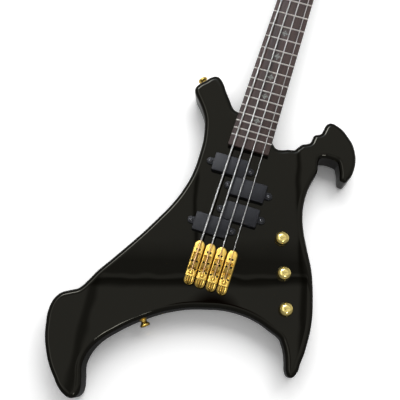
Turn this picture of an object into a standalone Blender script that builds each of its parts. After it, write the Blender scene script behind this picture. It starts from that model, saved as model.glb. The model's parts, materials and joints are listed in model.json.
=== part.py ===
"""Four-string solid-body electric bass guitar, lying on its back.

Metres, +Z out of the front, +Y along the neck to the head, +X to the treble side.
The origin is on the back of the body, below the point where the scale length ends at the bridge.
"""

import math

import bmesh
import bpy
from mathutils import Matrix, Vector

# Clearances
GAP = 0.0003
RUNNING_GAP = 0.0004

# Strings, from the thickest to the thinnest
SCALE_LENGTH = 0.864
STRING_NAMES = ("e", "a", "d", "g")
STRING_DIAMETERS = (0.0027, 0.0022, 0.0017, 0.0012)
STRING_PITCH_BRIDGE = 0.0165
STRING_PITCH_NUT = 0.0108
STRING_RISE_AT_BRIDGE = 0.0147
STRING_OVER_FIRST_FRET = 0.0005
BALL_END_RADIUS = 0.0028
BALL_END_LENGTH = 0.005
WINDING_TURNS = 2.0
WINDING_GAP = 0.0007
POINTS_PER_TURN = 12

# Body
BODY_THICKNESS = 0.044
BODY_EDGE = 0.004
BODY_OUTLINE = (
    (-0.030, 0.233), (-0.040, 0.236), (-0.049, 0.246), (-0.062, 0.263), (-0.074, 0.278), (-0.083, 0.281),
    (-0.097, 0.269), (-0.107, 0.257), (-0.108, 0.249), (-0.098, 0.235), (-0.076, 0.203), (-0.0675, 0.150),
    (-0.0735, 0.094), (-0.0955, 0.039), (-0.125, -0.0145), (-0.156, -0.0645), (-0.1735, -0.0935),
    (-0.197, -0.108), (-0.206, -0.124), (-0.204, -0.155), (-0.190, -0.192), (-0.165, -0.225),
    (-0.143, -0.242), (-0.130, -0.242), (-0.124, -0.230), (-0.133, -0.197), (-0.129, -0.170),
    (-0.105, -0.136), (-0.074, -0.1075), (-0.035, -0.082), (0.010, -0.065), (0.055, -0.058),
    (0.110, -0.070), (0.130, -0.081), (0.140, -0.106), (0.146, -0.121), (0.153, -0.123), (0.160, -0.100),
    (0.1615, -0.070), (0.159, -0.042), (0.153, -0.014), (0.138, 0.032), (0.112, 0.084), (0.1025, 0.127),
    (0.1045, 0.158), (0.1085, 0.1775), (0.1065, 0.189), (0.1065, 0.197), (0.112, 0.200), (0.1255, 0.201),
    (0.1345, 0.199), (0.140, 0.1925), (0.1435, 0.183), (0.1465, 0.174), (0.1515, 0.172), (0.1555, 0.177),
    (0.160, 0.194), (0.154, 0.224), (0.138, 0.244), (0.116, 0.257), (0.106, 0.257), (0.101, 0.250),
    (0.098, 0.237), (0.089, 0.231), (0.086, 0.218), (0.076, 0.212), (0.068, 0.201), (0.057, 0.198),
    (0.046, 0.194), (0.038, 0.195), (0.030, 0.203),
)

# Neck and fretboard
NUT_WIDTH = 0.042
LAST_FRET_WIDTH = 0.0625
FRET_COUNT = 26
FRET_HEIGHT = 0.0011
FRET_WIDTH = 0.0026
BOARD_RISE = 0.011
BOARD_THICKNESS = 0.006
BOARD_OVERHANG = 0.017
NUT_LENGTH = 0.005
NUT_LIP = 0.0012
HEEL_LENGTH = 0.070
POCKET_DEPTH = 0.016
NECK_DEPTH_AT_NUT = 0.0145
NECK_DEPTH_AT_HEEL = 0.017
NECK_SIDE = 0.002
NECK_ROUNDNESS = 0.85
TRUSS_ROD_DIAMETER = 0.005
TRUSS_ROD_NUT_DIAMETER = 0.0056
TRUSS_ROD_NUT_LENGTH = 0.014

# Head and tuners
HEAD_DROP = 0.0135
HEAD_THICKNESS = 0.0125
HEAD_EDGE = 0.0015
HEAD_RAMP = 0.016
HEAD_HALF_OUTLINE = (
    (0.0212, 0.004), (0.0300, 0.014), (0.0375, 0.032), (0.0390, 0.056),
    (0.0350, 0.118), (0.0330, 0.140), (0.0180, 0.148), (0.0080, 0.163),
)
COVER_LENGTH = 0.030
COVER_WIDTH = 0.018
COVER_THICKNESS = 0.002
NEAR_POST = (0.0220, 0.052)
FAR_POST = (0.0165, 0.116)
POST_DIAMETER = 0.008
POST_HEIGHT = 0.020
BUSHING_DIAMETER = 0.0128
BUSHING_FLANGE_DIAMETER = 0.017
BUSHING_FLANGE = 0.002
TUNER_PLATE = 0.002
WHEEL_TEETH = 20
WHEEL_PITCH_RADIUS = 0.009
WHEEL_ADDENDUM = 0.00055
WHEEL_DEDENDUM = 0.001
WHEEL_THICKNESS = 0.0026
TOOTH_ROOT_SHARE = 0.44
TOOTH_TIP_SHARE = 0.22
WORM_PITCH_RADIUS = 0.0029
WORM_SHAFT_DIAMETER = 0.004
WORM_THREAD = 0.00085
WORM_TURNS = 2.5
KEY_REACH = 0.026
KEY_LENGTH = 0.020
KEY_WIDTH = 0.026
KEY_THICKNESS = 0.007
KEY_CORNER = 0.009
LUG_THICKNESS = 0.0026

# Bridge, one rail for each string
RAIL_SPACING = 0.0015
RAIL_FRONT = 0.023
RAIL_BACK = 0.031
RAIL_HEIGHT = 0.013
RAIL_FLOOR = 0.003
RAIL_WALL = 0.002
RAIL_EDGE = 0.001
CHANNEL_FRONT = 0.004
CHANNEL_BACK = 0.0205
ANCHOR_WALL = 0.002
SADDLE_SETBACK = 0.003
SADDLE_STEP = 0.002
SADDLE_FRONT = 0.0025
SADDLE_LENGTH = 0.0115
SADDLE_LIP = 0.001
SADDLE_TRAVEL_BACK = 0.002
THUMB_DIAMETER = 0.0142
THUMB_LENGTH = 0.012
THUMB_SCREW_DIAMETER = 0.003

# Pickups, two split pairs
PICKUP_LENGTH = 0.0525
PICKUP_WIDTH = 0.0278
PICKUP_RISE = 0.009
PICKUP_DEPTH = 0.020
PICKUP_CORNER = 0.0015
PICKUP_OFFSET = 0.018
PICKUP_SPLIT = 0.0005
PICKUP_EAR_PITCH = 0.063
PICKUP_EAR_WIDTH = 0.011
PICKUP_EAR_THICKNESS = 0.003
PICKUP_ROUTE_GAP = 0.0005
FRONT_PICKUP_SHARE = 0.706
REAR_PICKUP_SHARE = 0.269

# Controls
KNOB_LINE_START = (0.0860, 0.0615)
KNOB_LINE_END = (0.1195, -0.0350)
KNOB_NAMES = ("volume", "blend", "tone")
KNOB_DIAMETER = 0.0205
KNOB_HEIGHT = 0.015
KNOB_LIFT = 0.0006
KNOB_RECESS_DIAMETER = 0.015
KNOB_RECESS = 0.0035
KNOB_CROWN = 0.0025
POT_DIAMETER = 0.024
POT_HEIGHT = 0.009
POT_BUSHING_DIAMETER = 0.0094
POT_BUSHING_RISE = 0.002
POT_SHAFT_DIAMETER = 0.006
CONTROL_WALL = 0.008
CAVITY_RADIUS = 0.020
COVER_LEDGE = 0.004
COVER_PLATE = 0.002
PLATE_RECESS = 0.0002

# Output socket, at a point of the outline
JACK_POINT = 39
JACK_SEAT_DEPTH = 0.0018
JACK_FLANGE_DIAMETER = 0.018
JACK_FLANGE = 0.0025
JACK_BARREL_DIAMETER = 0.0116
JACK_BARREL_LENGTH = 0.022
JACK_BORE_DIAMETER = 0.0068

# Strap buttons, at two points of the outline
UPPER_BUTTON_POINT = 6
LOWER_BUTTON_POINT = 28
BUTTON_SEAT_DEPTH = 0.0005
BUTTON_BASE_DIAMETER = 0.012
BUTTON_WAIST_DIAMETER = 0.0085
BUTTON_RIM_DIAMETER = 0.0145
BUTTON_LENGTH = 0.0125
BUTTON_SCREW_DIAMETER = 0.0042
BUTTON_SCREW_LENGTH = 0.020

# Neck fixing
NECK_PLATE_HALF_WIDTH = 0.023
NECK_PLATE_START = 0.0045
NECK_PLATE_BASS_LENGTH = 0.042
NECK_PLATE_TREBLE_LENGTH = 0.020
NECK_PLATE_THICKNESS = 0.0025
NECK_SCREW_INSET = 0.006
NECK_SCREW_DIAMETER = 0.0048
NECK_SCREW_HEAD_DIAMETER = 0.009
NECK_SCREW_HEAD = 0.0022
NECK_SCREW_BITE = 0.014

# Heights above the back
BODY_TOP = BODY_THICKNESS
BOARD_TOP = BODY_TOP + BOARD_RISE
BOARD_BOTTOM = BOARD_TOP - BOARD_THICKNESS
NECK_TOP = BOARD_BOTTOM - GAP
POCKET_FLOOR = BODY_TOP - POCKET_DEPTH
HEAD_FACE = BOARD_TOP - HEAD_DROP
HEAD_BACK = HEAD_FACE - HEAD_THICKNESS
RAIL_BOTTOM = BODY_TOP + GAP
RAIL_TOP = BODY_TOP + RAIL_HEIGHT
CHANNEL_FLOOR = BODY_TOP + RAIL_FLOOR
THUMB_AXIS = RAIL_BOTTOM + THUMB_DIAMETER / 2
ANCHOR_FLOOR = THUMB_AXIS + THUMB_SCREW_DIAMETER / 2 + 3 * GAP
BALL_HEIGHT = ANCHOR_FLOOR + GAP + BALL_END_RADIUS
STRINGS_AT_BRIDGE = BODY_TOP + STRING_RISE_AT_BRIDGE
STRINGS_AT_NUT = BOARD_TOP + FRET_HEIGHT + STRING_OVER_FIRST_FRET
CAVITY_CEILING = BODY_TOP - CONTROL_WALL
TRUSS_ROD_AXIS = HEAD_FACE - GAP - TRUSS_ROD_NUT_DIAMETER / 2

# Places along the neck
LAST_FRET = SCALE_LENGTH * 2 ** (-FRET_COUNT / 12)
BOARD_END = LAST_FRET - BOARD_OVERHANG
BALL_FRONT = -CHANNEL_BACK - ANCHOR_WALL - GAP
RAIL_WIDTH = STRING_PITCH_BRIDGE - RAIL_SPACING

# Worm and wheel
WORM_PITCH = 2 * math.pi * WHEEL_PITCH_RADIUS / WHEEL_TEETH
WORM_OFFSET = WHEEL_PITCH_RADIUS + WORM_PITCH_RADIUS
WHEEL_TOP = -GAP - TUNER_PLATE - RUNNING_GAP
WORM_HEIGHT = WHEEL_TOP - WHEEL_THICKNESS / 2

COLLECTION = None
CUTTERS = None
MATERIALS = {}


# Scene and materials

def clear_scene():
    """Remove every object and leave one collection for the bass and one for its cutters."""
    global COLLECTION, CUTTERS
    for item in list(bpy.data.objects):
        bpy.data.objects.remove(item, do_unlink=True)
    COLLECTION = bpy.data.collections.new("bass_guitar")
    CUTTERS = bpy.data.collections.new("cutters")
    bpy.context.scene.collection.children.link(COLLECTION)
    bpy.context.scene.collection.children.link(CUTTERS)


def make_materials():
    """One Principled material for each finish on the instrument."""
    finishes = {
        "black_lacquer": ((0.008, 0.008, 0.009), 0.08, 0.0),
        "rosewood": ((0.060, 0.036, 0.030), 0.45, 0.0),
        "gold_plate": ((0.800, 0.560, 0.180), 0.22, 1.0),
        "string_steel": ((0.620, 0.610, 0.600), 0.30, 1.0),
        "bone": ((0.780, 0.740, 0.640), 0.40, 0.0),
        "pickup_plastic": ((0.030, 0.032, 0.038), 0.40, 0.0),
        "black_plastic": ((0.015, 0.015, 0.015), 0.35, 0.0),
        "zinc_plate": ((0.520, 0.520, 0.530), 0.35, 1.0),
    }
    for name, (colour, roughness, metallic) in finishes.items():
        material = bpy.data.materials.new(name)
        material.use_nodes = True
        shader = material.node_tree.nodes["Principled BSDF"]
        shader.inputs["Base Color"].default_value = (*colour, 1.0)
        shader.inputs["Roughness"].default_value = roughness
        shader.inputs["Metallic"].default_value = metallic
        MATERIALS[name] = material


def place(name, mesh, finish, location=(0.0, 0.0, 0.0), parent=None, smooth=True):
    """Add a finished piece to the instrument."""
    if smooth:
        mesh.shade_smooth()
        mesh.set_sharp_from_angle(angle=math.radians(35))
    if not mesh.materials:
        mesh.materials.append(MATERIALS[finish])
    piece = bpy.data.objects.new(name, mesh)
    piece.location = location
    piece.parent = parent
    COLLECTION.objects.link(piece)
    return piece


def helper(name, mesh):
    """Add a hidden shape that cuts or joins another."""
    piece = bpy.data.objects.new(name, mesh)
    piece.hide_render = True
    piece.display_type = "WIRE"
    CUTTERS.objects.link(piece)
    return piece


def boolean(piece, mesh, operation, label):
    """Cut a mesh out of a piece, join it on or keep what the two share."""
    tool = helper(f"{piece.name}_{label}", mesh)
    tool.parent = piece.parent
    tool.location = piece.location
    modifier = piece.modifiers.new(label, "BOOLEAN")
    modifier.operation = operation
    modifier.object = tool


def cut(piece, mesh, label):
    boolean(piece, mesh, "DIFFERENCE", label)


def join(piece, mesh, label):
    boolean(piece, mesh, "UNION", label)


# Shapes

def settle(mesh):
    """Weld a mesh and turn its faces outwards."""
    shape = bmesh.new()
    shape.from_mesh(mesh)
    bmesh.ops.remove_doubles(shape, verts=shape.verts, dist=1e-6)
    bmesh.ops.recalc_face_normals(shape, faces=shape.faces)
    shape.to_mesh(mesh)
    shape.free()
    return mesh


def evaluated_mesh(data, prepare=None):
    """The mesh of a curve or profile as its modifiers leave it."""
    source = bpy.data.objects.new("source", data)
    bpy.context.scene.collection.objects.link(source)
    if prepare:
        prepare(source)
    graph = bpy.context.evaluated_depsgraph_get()
    mesh = bpy.data.meshes.new_from_object(source.evaluated_get(graph), depsgraph=graph)
    bpy.data.objects.remove(source, do_unlink=True)
    return settle(mesh)


def prism(outline, bottom, top, edge=0.0, curved=0, rounding=1):
    """A flat outline filled and extruded from bottom to top, with rounded edges.

    A curved outline runs smoothly through its points, with that many steps between two of them.
    The rounding of the edges is finer with a larger number, and a plain chamfer at 0.
    """
    curve = bpy.data.curves.new("outline", "CURVE")
    curve.dimensions = "2D"
    curve.fill_mode = "BOTH"
    curve.extrude = (top - bottom) / 2 - edge
    curve.bevel_depth = edge
    curve.bevel_resolution = rounding
    curve.offset = -edge
    if curved:
        curve.resolution_u = curved
        spline = curve.splines.new("BEZIER")
        spline.bezier_points.add(len(outline) - 1)
        for point, (x, y) in zip(spline.bezier_points, outline):
            point.co = (x, y, 0.0)
            point.handle_left_type = "AUTO"
            point.handle_right_type = "AUTO"
    else:
        spline = curve.splines.new("POLY")
        spline.points.add(len(outline) - 1)
        for point, (x, y) in zip(spline.points, outline):
            point.co = (x, y, 0.0, 1.0)
    spline.use_cyclic_u = True
    mesh = evaluated_mesh(curve)
    mesh.transform(Matrix.Translation((0.0, 0.0, (bottom + top) / 2)))
    return mesh


def box(low, high):
    """A box between two corners."""
    low = Vector(low)
    high = Vector(high)
    shape = bmesh.new()
    bmesh.ops.create_cube(shape, size=1.0)
    bmesh.ops.scale(shape, vec=high - low, verts=shape.verts)
    bmesh.ops.translate(shape, vec=(low + high) / 2, verts=shape.verts)
    mesh = bpy.data.meshes.new("box")
    shape.to_mesh(mesh)
    shape.free()
    return mesh


def rod(start, end, radius, end_radius=None, sides=16):
    """A round bar, or a cone, between two points."""
    start = Vector(start)
    end = Vector(end)
    along = end - start
    turn = along.to_track_quat("Z", "Y").to_matrix().to_4x4()
    shape = bmesh.new()
    bmesh.ops.create_cone(
        shape, cap_ends=True, segments=sides, depth=along.length,
        radius1=radius, radius2=radius if end_radius is None else end_radius,
        matrix=Matrix.Translation((start + end) / 2) @ turn,
    )
    mesh = bpy.data.meshes.new("rod")
    shape.to_mesh(mesh)
    shape.free()
    return mesh


def turned(profile, steps=24):
    """A profile of (radius, height) points, from the top down its outer side, turned about Z."""
    mesh = bpy.data.meshes.new("profile")
    points = [(radius, 0.0, height) for radius, height in profile]
    hollow = all(radius > 0.0 for radius, height in profile)
    edges = [(i, i + 1) for i in range(len(points) - 1)]
    if hollow:
        edges.append((len(points) - 1, 0))
    mesh.from_pydata(points, edges, [])

    def spin(source):
        screw = source.modifiers.new("turn", "SCREW")
        screw.steps = steps
        screw.render_steps = steps
        screw.use_merge_vertices = True
        screw.merge_threshold = 0.00001

    return evaluated_mesh(mesh, spin)


def tube(points, radius, scales=None, resolution=1):
    """A round tube along straight runs; scales widen it at chosen points."""
    curve = bpy.data.curves.new("route", "CURVE")
    curve.dimensions = "3D"
    curve.bevel_depth = radius
    curve.bevel_resolution = resolution
    curve.use_fill_caps = True
    spline = curve.splines.new("POLY")
    spline.points.add(len(points) - 1)
    for index, (point, place_at) in enumerate(zip(spline.points, points)):
        point.co = (*place_at, 1.0)
        point.radius = scales[index] if scales else 1.0
    return evaluated_mesh(curve)


def loft(rings):
    """A closed skin through rings of the same number of points."""
    shape = bmesh.new()
    loops = [[shape.verts.new(point) for point in ring] for ring in rings]
    shape.faces.new(loops[0])
    shape.faces.new(reversed(loops[-1]))
    for first, second in zip(loops, loops[1:]):
        for index in range(len(first)):
            after = (index + 1) % len(first)
            shape.faces.new((first[index], second[index], second[after], first[after]))
    mesh = bpy.data.meshes.new("loft")
    shape.to_mesh(mesh)
    shape.free()
    return settle(mesh)


def arc(centre, radius, start, end, steps):
    """Points on an arc, with its angles in degrees."""
    angles = [math.radians(start + (end - start) * k / steps) for k in range(steps + 1)]
    return [(centre[0] + radius * math.cos(a), centre[1] + radius * math.sin(a)) for a in angles]


def rounded_rectangle(centre, width, length, radius, steps=2):
    """A rectangle with rounded corners, width along X and length along Y."""
    x = width / 2 - radius
    y = length / 2 - radius
    points = []
    for sign_x, sign_y, angle in ((1, 1, 0), (-1, 1, 90), (-1, -1, 180), (1, -1, 270)):
        corner = (centre[0] + sign_x * x, centre[1] + sign_y * y)
        points += arc(corner, radius, angle, angle + 90, steps)
    return points


def capsule(start, end, radius, steps=8):
    """A slot outline with round ends about two points."""
    lean = math.degrees(math.atan2(end[1] - start[1], end[0] - start[0]))
    return arc(start, radius, lean + 90, lean + 270, steps) + arc(end, radius, lean - 90, lean + 90, steps)


def aimed(mesh, facing):
    """Lay a shape that was turned about Z along another direction."""
    mesh.transform(facing.to_track_quat("Z", "Y").to_matrix().to_4x4())
    return mesh


# Lines of the neck and strings

def board_width(y):
    """Width of the fretboard at a place along the neck."""
    return NUT_WIDTH + (LAST_FRET_WIDTH - NUT_WIDTH) * (SCALE_LENGTH - y) / (SCALE_LENGTH - LAST_FRET)


def string_x(index, y):
    """Distance of a string from the centre line."""
    pitch = STRING_PITCH_BRIDGE + (STRING_PITCH_NUT - STRING_PITCH_BRIDGE) * y / SCALE_LENGTH
    return (index - (len(STRING_NAMES) - 1) / 2) * pitch


def string_z(index, y):
    """Height of a string's centre between the bridge and the nut."""
    under = STRINGS_AT_BRIDGE + (STRINGS_AT_NUT - STRINGS_AT_BRIDGE) * y / SCALE_LENGTH
    return under + STRING_DIAMETERS[index] / 2


def saddle_y(index):
    """Place of a saddle's crest; thicker strings have it further back."""
    return -SADDLE_SETBACK - SADDLE_STEP * (len(STRING_NAMES) - 1 - index)


def post_place(index):
    """Centre of a tuner post: the outer strings go to the posts nearest the nut."""
    outer = index in (0, len(STRING_NAMES) - 1)
    x, y = NEAR_POST if outer else FAR_POST
    side = -1 if index < len(STRING_NAMES) / 2 else 1
    return side * x, SCALE_LENGTH + y, side


def knob_places():
    """Centres of the three controls on their line."""
    start = Vector(KNOB_LINE_START)
    end = Vector(KNOB_LINE_END)
    last = len(KNOB_NAMES) - 1
    return [start.lerp(end, k / last) for k in range(last + 1)]


def pickup_places():
    """Name and centre of the four pickup halves; the rear pair is split the other way round."""
    span = BOARD_END - RAIL_FRONT
    half = (PICKUP_WIDTH + PICKUP_SPLIT) / 2
    front = RAIL_FRONT + FRONT_PICKUP_SHARE * span
    rear = RAIL_FRONT + REAR_PICKUP_SHARE * span
    return (
        ("pickup_front_bass", -PICKUP_OFFSET, front + half),
        ("pickup_front_treble", PICKUP_OFFSET, front - half),
        ("pickup_rear_treble", PICKUP_OFFSET, rear + half),
        ("pickup_rear_bass", -PICKUP_OFFSET, rear - half),
    )


def edge_seat(point, depth):
    """A place just inside the body's edge at one of its points, and the way the edge faces there."""
    along = (Vector(BODY_OUTLINE[point + 1]) - Vector(BODY_OUTLINE[point - 1])).normalized()
    facing = Vector((along.y, -along.x, 0.0))
    return Vector((*BODY_OUTLINE[point], BODY_TOP / 2)) - depth * facing, facing


def strap_button_seats():
    """Name, seat and facing of the two strap buttons."""
    return (
        ("strap_button_upper", *edge_seat(UPPER_BUTTON_POINT, BUTTON_SEAT_DEPTH)),
        ("strap_button_lower", *edge_seat(LOWER_BUTTON_POINT, BUTTON_SEAT_DEPTH)),
    )


def jack_seat():
    """Where the flange of the output socket meets the body; the socket faces straight along X."""
    x, y = BODY_OUTLINE[JACK_POINT]
    return Vector((x - JACK_SEAT_DEPTH, y, BODY_TOP / 2))


def neck_plate_outline(inset=0.0):
    """The neck plate's corners, longer on the bass side, drawn in by an inset."""
    x = NECK_PLATE_HALF_WIDTH - inset
    start = BOARD_END + NECK_PLATE_START
    slope = (NECK_PLATE_BASS_LENGTH - NECK_PLATE_TREBLE_LENGTH) / (2 * NECK_PLATE_HALF_WIDTH)
    middle = start + (NECK_PLATE_BASS_LENGTH + NECK_PLATE_TREBLE_LENGTH) / 2
    middle -= inset * math.hypot(1.0, slope)
    return [(-x, start + inset), (x, start + inset), (x, middle - slope * x), (-x, middle + slope * x)]


# Body

def make_body():
    """The solid body with its pocket, routes and holes."""
    body = place("body", prism(BODY_OUTLINE, 0.0, BODY_TOP, BODY_EDGE, curved=2), "black_lacquer")
    beyond = BOARD_END + 2 * HEEL_LENGTH
    near = board_width(BOARD_END) / 2 + GAP
    far = board_width(beyond) / 2 + GAP
    start = BOARD_END - GAP
    pocket = [(-near, start), (near, start), (far, beyond), (-far, beyond)]
    cut(body, prism(pocket, POCKET_FLOOR, BODY_TOP + BODY_EDGE), "neck_pocket")
    for name, x, y in pickup_places():
        route = rounded_rectangle(
            (x, y), PICKUP_LENGTH + 2 * PICKUP_ROUTE_GAP, PICKUP_WIDTH + PICKUP_SPLIT, PICKUP_CORNER)
        floor = BODY_TOP - PICKUP_DEPTH - PICKUP_ROUTE_GAP
        cut(body, prism(route, floor, BODY_TOP + BODY_EDGE), name)
    line = (KNOB_LINE_START, KNOB_LINE_END)
    cut(body, prism(capsule(*line, CAVITY_RADIUS), -BODY_EDGE, CAVITY_CEILING), "control_cavity")
    ledge = CAVITY_RADIUS + COVER_LEDGE + GAP
    cut(body, prism(capsule(*line, ledge), -BODY_EDGE, PLATE_RECESS + COVER_PLATE + GAP), "cover_ledge")
    for name, spot in zip(KNOB_NAMES, knob_places()):
        hole = rod((*spot, CAVITY_CEILING - GAP), (*spot, BODY_TOP + GAP), POT_BUSHING_DIAMETER / 2 + GAP)
        cut(body, hole, name)
    seat = jack_seat()
    outwards = Vector((1.0, 0.0, 0.0))
    flange = JACK_FLANGE_DIAMETER / 2 + GAP
    cut(body, rod(seat, seat + JACK_FLANGE_DIAMETER * outwards, flange), "jack_seat")
    bore_end = seat - (JACK_BARREL_LENGTH + GAP) * outwards
    cut(body, rod(bore_end, seat + GAP * outwards, JACK_BARREL_DIAMETER / 2 + GAP), "jack_bore")
    recess = PLATE_RECESS + NECK_PLATE_THICKNESS + GAP
    cut(body, prism(neck_plate_outline(-GAP), -BODY_EDGE, recess), "neck_plate_recess")
    for index, spot in enumerate(neck_plate_outline(NECK_SCREW_INSET)):
        hole = rod((*spot, recess - GAP), (*spot, POCKET_FLOOR + GAP),
                   NECK_SCREW_DIAMETER / 2 + GAP, sides=12)
        cut(body, hole, f"neck_screw_{index + 1}")
    for name, seat, facing in strap_button_seats():
        face = rod(seat, seat + BUTTON_LENGTH * facing, BUTTON_BASE_DIAMETER / 2 + GAP, sides=12)
        cut(body, face, f"{name}_seat")
        hole_end = seat - (BUTTON_SCREW_LENGTH + GAP) * facing
        hole = rod(hole_end, seat + GAP * facing, BUTTON_SCREW_DIAMETER / 2 + GAP, sides=12)
        cut(body, hole, f"{name}_hole")


# Neck

def neck_ring(y, top, depth, half_width=None):
    """One section of the neck: a flat top, short straight sides and a rounded back."""
    half = board_width(y) / 2 if half_width is None else half_width
    steps = 10
    ring = []
    for k in range(steps + 1):
        t = math.pi * k / steps
        across = math.copysign(abs(math.cos(t)) ** NECK_ROUNDNESS, math.cos(t))
        ring.append((half * across, y, top - NECK_SIDE - depth * math.sin(t) ** NECK_ROUNDNESS))
    return ring + [(-half, y, top), (half, y, top)]


def make_neck():
    """The neck with its heel and head."""
    nut_back = SCALE_LENGTH + NUT_LENGTH + GAP
    heel_end = BOARD_END + HEEL_LENGTH
    stations = (
        (heel_end - HEEL_LENGTH / 4, NECK_DEPTH_AT_HEEL),
        (heel_end + HEEL_LENGTH, NECK_DEPTH_AT_HEEL),
        (SCALE_LENGTH - HEEL_LENGTH / 2, NECK_DEPTH_AT_NUT),
    )
    rings = [neck_ring(y, NECK_TOP, depth) for y, depth in stations]
    rings.append(neck_ring(nut_back, NECK_TOP, NECK_DEPTH_AT_NUT))
    ramp_top = HEAD_FACE - HEAD_EDGE
    ramp_depth = ramp_top - NECK_SIDE - HEAD_BACK - HEAD_EDGE
    rings.append(neck_ring(nut_back + HEAD_RAMP, ramp_top, ramp_depth))
    neck = place("neck", loft(rings), "black_lacquer")
    near = board_width(BOARD_END) / 2
    far = board_width(heel_end) / 2
    heel = [(-near, BOARD_END), (near, BOARD_END), (far, heel_end - BODY_EDGE),
            (far - BODY_EDGE, heel_end), (BODY_EDGE - far, heel_end), (-far, heel_end - BODY_EDGE)]
    join(neck, prism(heel, POCKET_FLOOR + GAP, NECK_TOP), "heel")
    half = [(x, SCALE_LENGTH + y) for x, y in HEAD_HALF_OUTLINE]
    head = half + [(-x, y) for x, y in reversed(half)]
    join(neck, prism(head, HEAD_BACK, HEAD_FACE, HEAD_EDGE, curved=2, rounding=0), "head")
    slot = TRUSS_ROD_NUT_DIAMETER / 2 + GAP
    floor = TRUSS_ROD_AXIS - slot
    slot_end = nut_back + HEAD_RAMP + COVER_LENGTH / 2
    cut(neck, box((-slot, LAST_FRET, floor), (slot, slot_end, BOARD_TOP)), "truss_rod_slot")
    for index, name in enumerate(STRING_NAMES):
        x, y, side = post_place(index)
        hole = rod((x, y, HEAD_BACK - HEAD_EDGE), (x, y, HEAD_FACE + HEAD_EDGE),
                   BUSHING_DIAMETER / 2 + GAP, sides=16)
        cut(neck, hole, f"tuner_{name}")
    for index, spot in enumerate(neck_plate_outline(NECK_SCREW_INSET)):
        hole = rod((*spot, POCKET_FLOOR), (*spot, POCKET_FLOOR + NECK_SCREW_BITE + 2 * GAP),
                   NECK_SCREW_DIAMETER / 2 + GAP, sides=12)
        cut(neck, hole, f"neck_screw_{index + 1}")


def make_truss_rod():
    """The steel rod under the fretboard, with its adjusting nut at the head."""
    start = LAST_FRET + GAP
    nut_back = SCALE_LENGTH + NUT_LENGTH + GAP
    end = nut_back + HEAD_RAMP + COVER_LENGTH / 2 - GAP
    wide = TRUSS_ROD_NUT_DIAMETER / TRUSS_ROD_DIAMETER
    step = end - TRUSS_ROD_NUT_LENGTH
    route = [(0.0, y, TRUSS_ROD_AXIS) for y in (start, step, step + GAP, end)]
    place("truss_rod", tube(route, TRUSS_ROD_DIAMETER / 2, (1.0, 1.0, wide, wide)), "zinc_plate")


def make_truss_rod_cover():
    """The plate on the head that covers the adjusting nut."""
    start = SCALE_LENGTH + NUT_LENGTH + HEAD_RAMP
    centre = (0.0, start + COVER_LENGTH / 2)
    outline = rounded_rectangle(centre, COVER_WIDTH, COVER_LENGTH, COVER_WIDTH / 3)
    bottom = HEAD_FACE + GAP
    place("truss_rod_cover", prism(outline, bottom, bottom + COVER_THICKNESS), "black_plastic")


def fret_places():
    """Places of the frets along the neck, from the nut to the last fret."""
    return [SCALE_LENGTH * 2 ** (-n / 12) for n in range(1, FRET_COUNT + 1)]


def make_fretboard():
    """The fretboard with its frets: a side view with one ridge a fret, trimmed to the taper."""
    crown = FRET_WIDTH / 4
    side = [(SCALE_LENGTH - GAP, BOARD_BOTTOM), (SCALE_LENGTH - GAP, BOARD_TOP)]
    for y in fret_places():
        side.append((y + FRET_WIDTH / 2, BOARD_TOP))
        side.append((y + crown, BOARD_TOP + FRET_HEIGHT))
        side.append((y - crown, BOARD_TOP + FRET_HEIGHT))
        side.append((y - FRET_WIDTH / 2, BOARD_TOP))
    side += [(BOARD_END, BOARD_TOP), (BOARD_END, BOARD_BOTTOM)]
    mesh = prism(side, -LAST_FRET_WIDTH, LAST_FRET_WIDTH)
    mesh.transform(Matrix(((0, 0, 1, 0), (1, 0, 0, 0), (0, 1, 0, 0), (0, 0, 0, 1))))
    board = place("fretboard", mesh, "rosewood", smooth=False)
    start = BOARD_END - NUT_WIDTH
    end = SCALE_LENGTH + NUT_WIDTH
    near = board_width(start) / 2
    far = board_width(end) / 2
    taper = [(-near, start), (near, start), (far, end), (-far, end)]
    boolean(board, prism(taper, 0.0, 2 * BOARD_TOP), "INTERSECT", "taper")


def make_nut():
    """The nut with one groove for each string."""
    low = (-NUT_WIDTH / 2, SCALE_LENGTH, NECK_TOP + GAP)
    top = string_z(0, SCALE_LENGTH) + NUT_LIP - GAP
    nut = place("nut", box(low, (NUT_WIDTH / 2, SCALE_LENGTH + NUT_LENGTH, top)), "bone", smooth=False)
    for index, name in enumerate(STRING_NAMES):
        ends = (SCALE_LENGTH - NUT_LENGTH, SCALE_LENGTH + 2 * NUT_LENGTH)
        half = STRING_DIAMETERS[index] / 2 + GAP
        groove = box((string_x(index, SCALE_LENGTH) - half, ends[0], STRINGS_AT_NUT - 2 * GAP),
                     (string_x(index, SCALE_LENGTH) + half, ends[1], top + NUT_LIP))
        cut(nut, groove, f"groove_{name}")


# Strings

def winding_points(index, start):
    """Points of one string from the nut to its post and round it, going down the post."""
    x, y, side = post_place(index)
    radius = POST_DIAMETER / 2 + RUNNING_GAP + STRING_DIAMETERS[index] / 2
    centre = Vector((x, y))
    towards = centre - Vector(start[:2])
    lean = math.asin(radius / towards.length)
    run = math.sqrt(towards.length ** 2 - radius ** 2)
    heading = math.atan2(towards.y, towards.x) + side * lean
    touch = Vector(start[:2]) + run * Vector((math.cos(heading), math.sin(heading)))
    first = math.atan2(touch.y - y, touch.x - x)
    pitch = STRING_DIAMETERS[index] + WINDING_GAP
    bottom = HEAD_FACE + GAP + BUSHING_FLANGE + RUNNING_GAP + STRING_DIAMETERS[index]
    top = bottom + pitch * WINDING_TURNS
    count = round(WINDING_TURNS * POINTS_PER_TURN)
    points = []
    for k in range(count + 1):
        turn = k / POINTS_PER_TURN
        angle = first - side * 2 * math.pi * turn
        points.append((x + radius * math.cos(angle), y + radius * math.sin(angle), top - pitch * turn))
    return points


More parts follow.
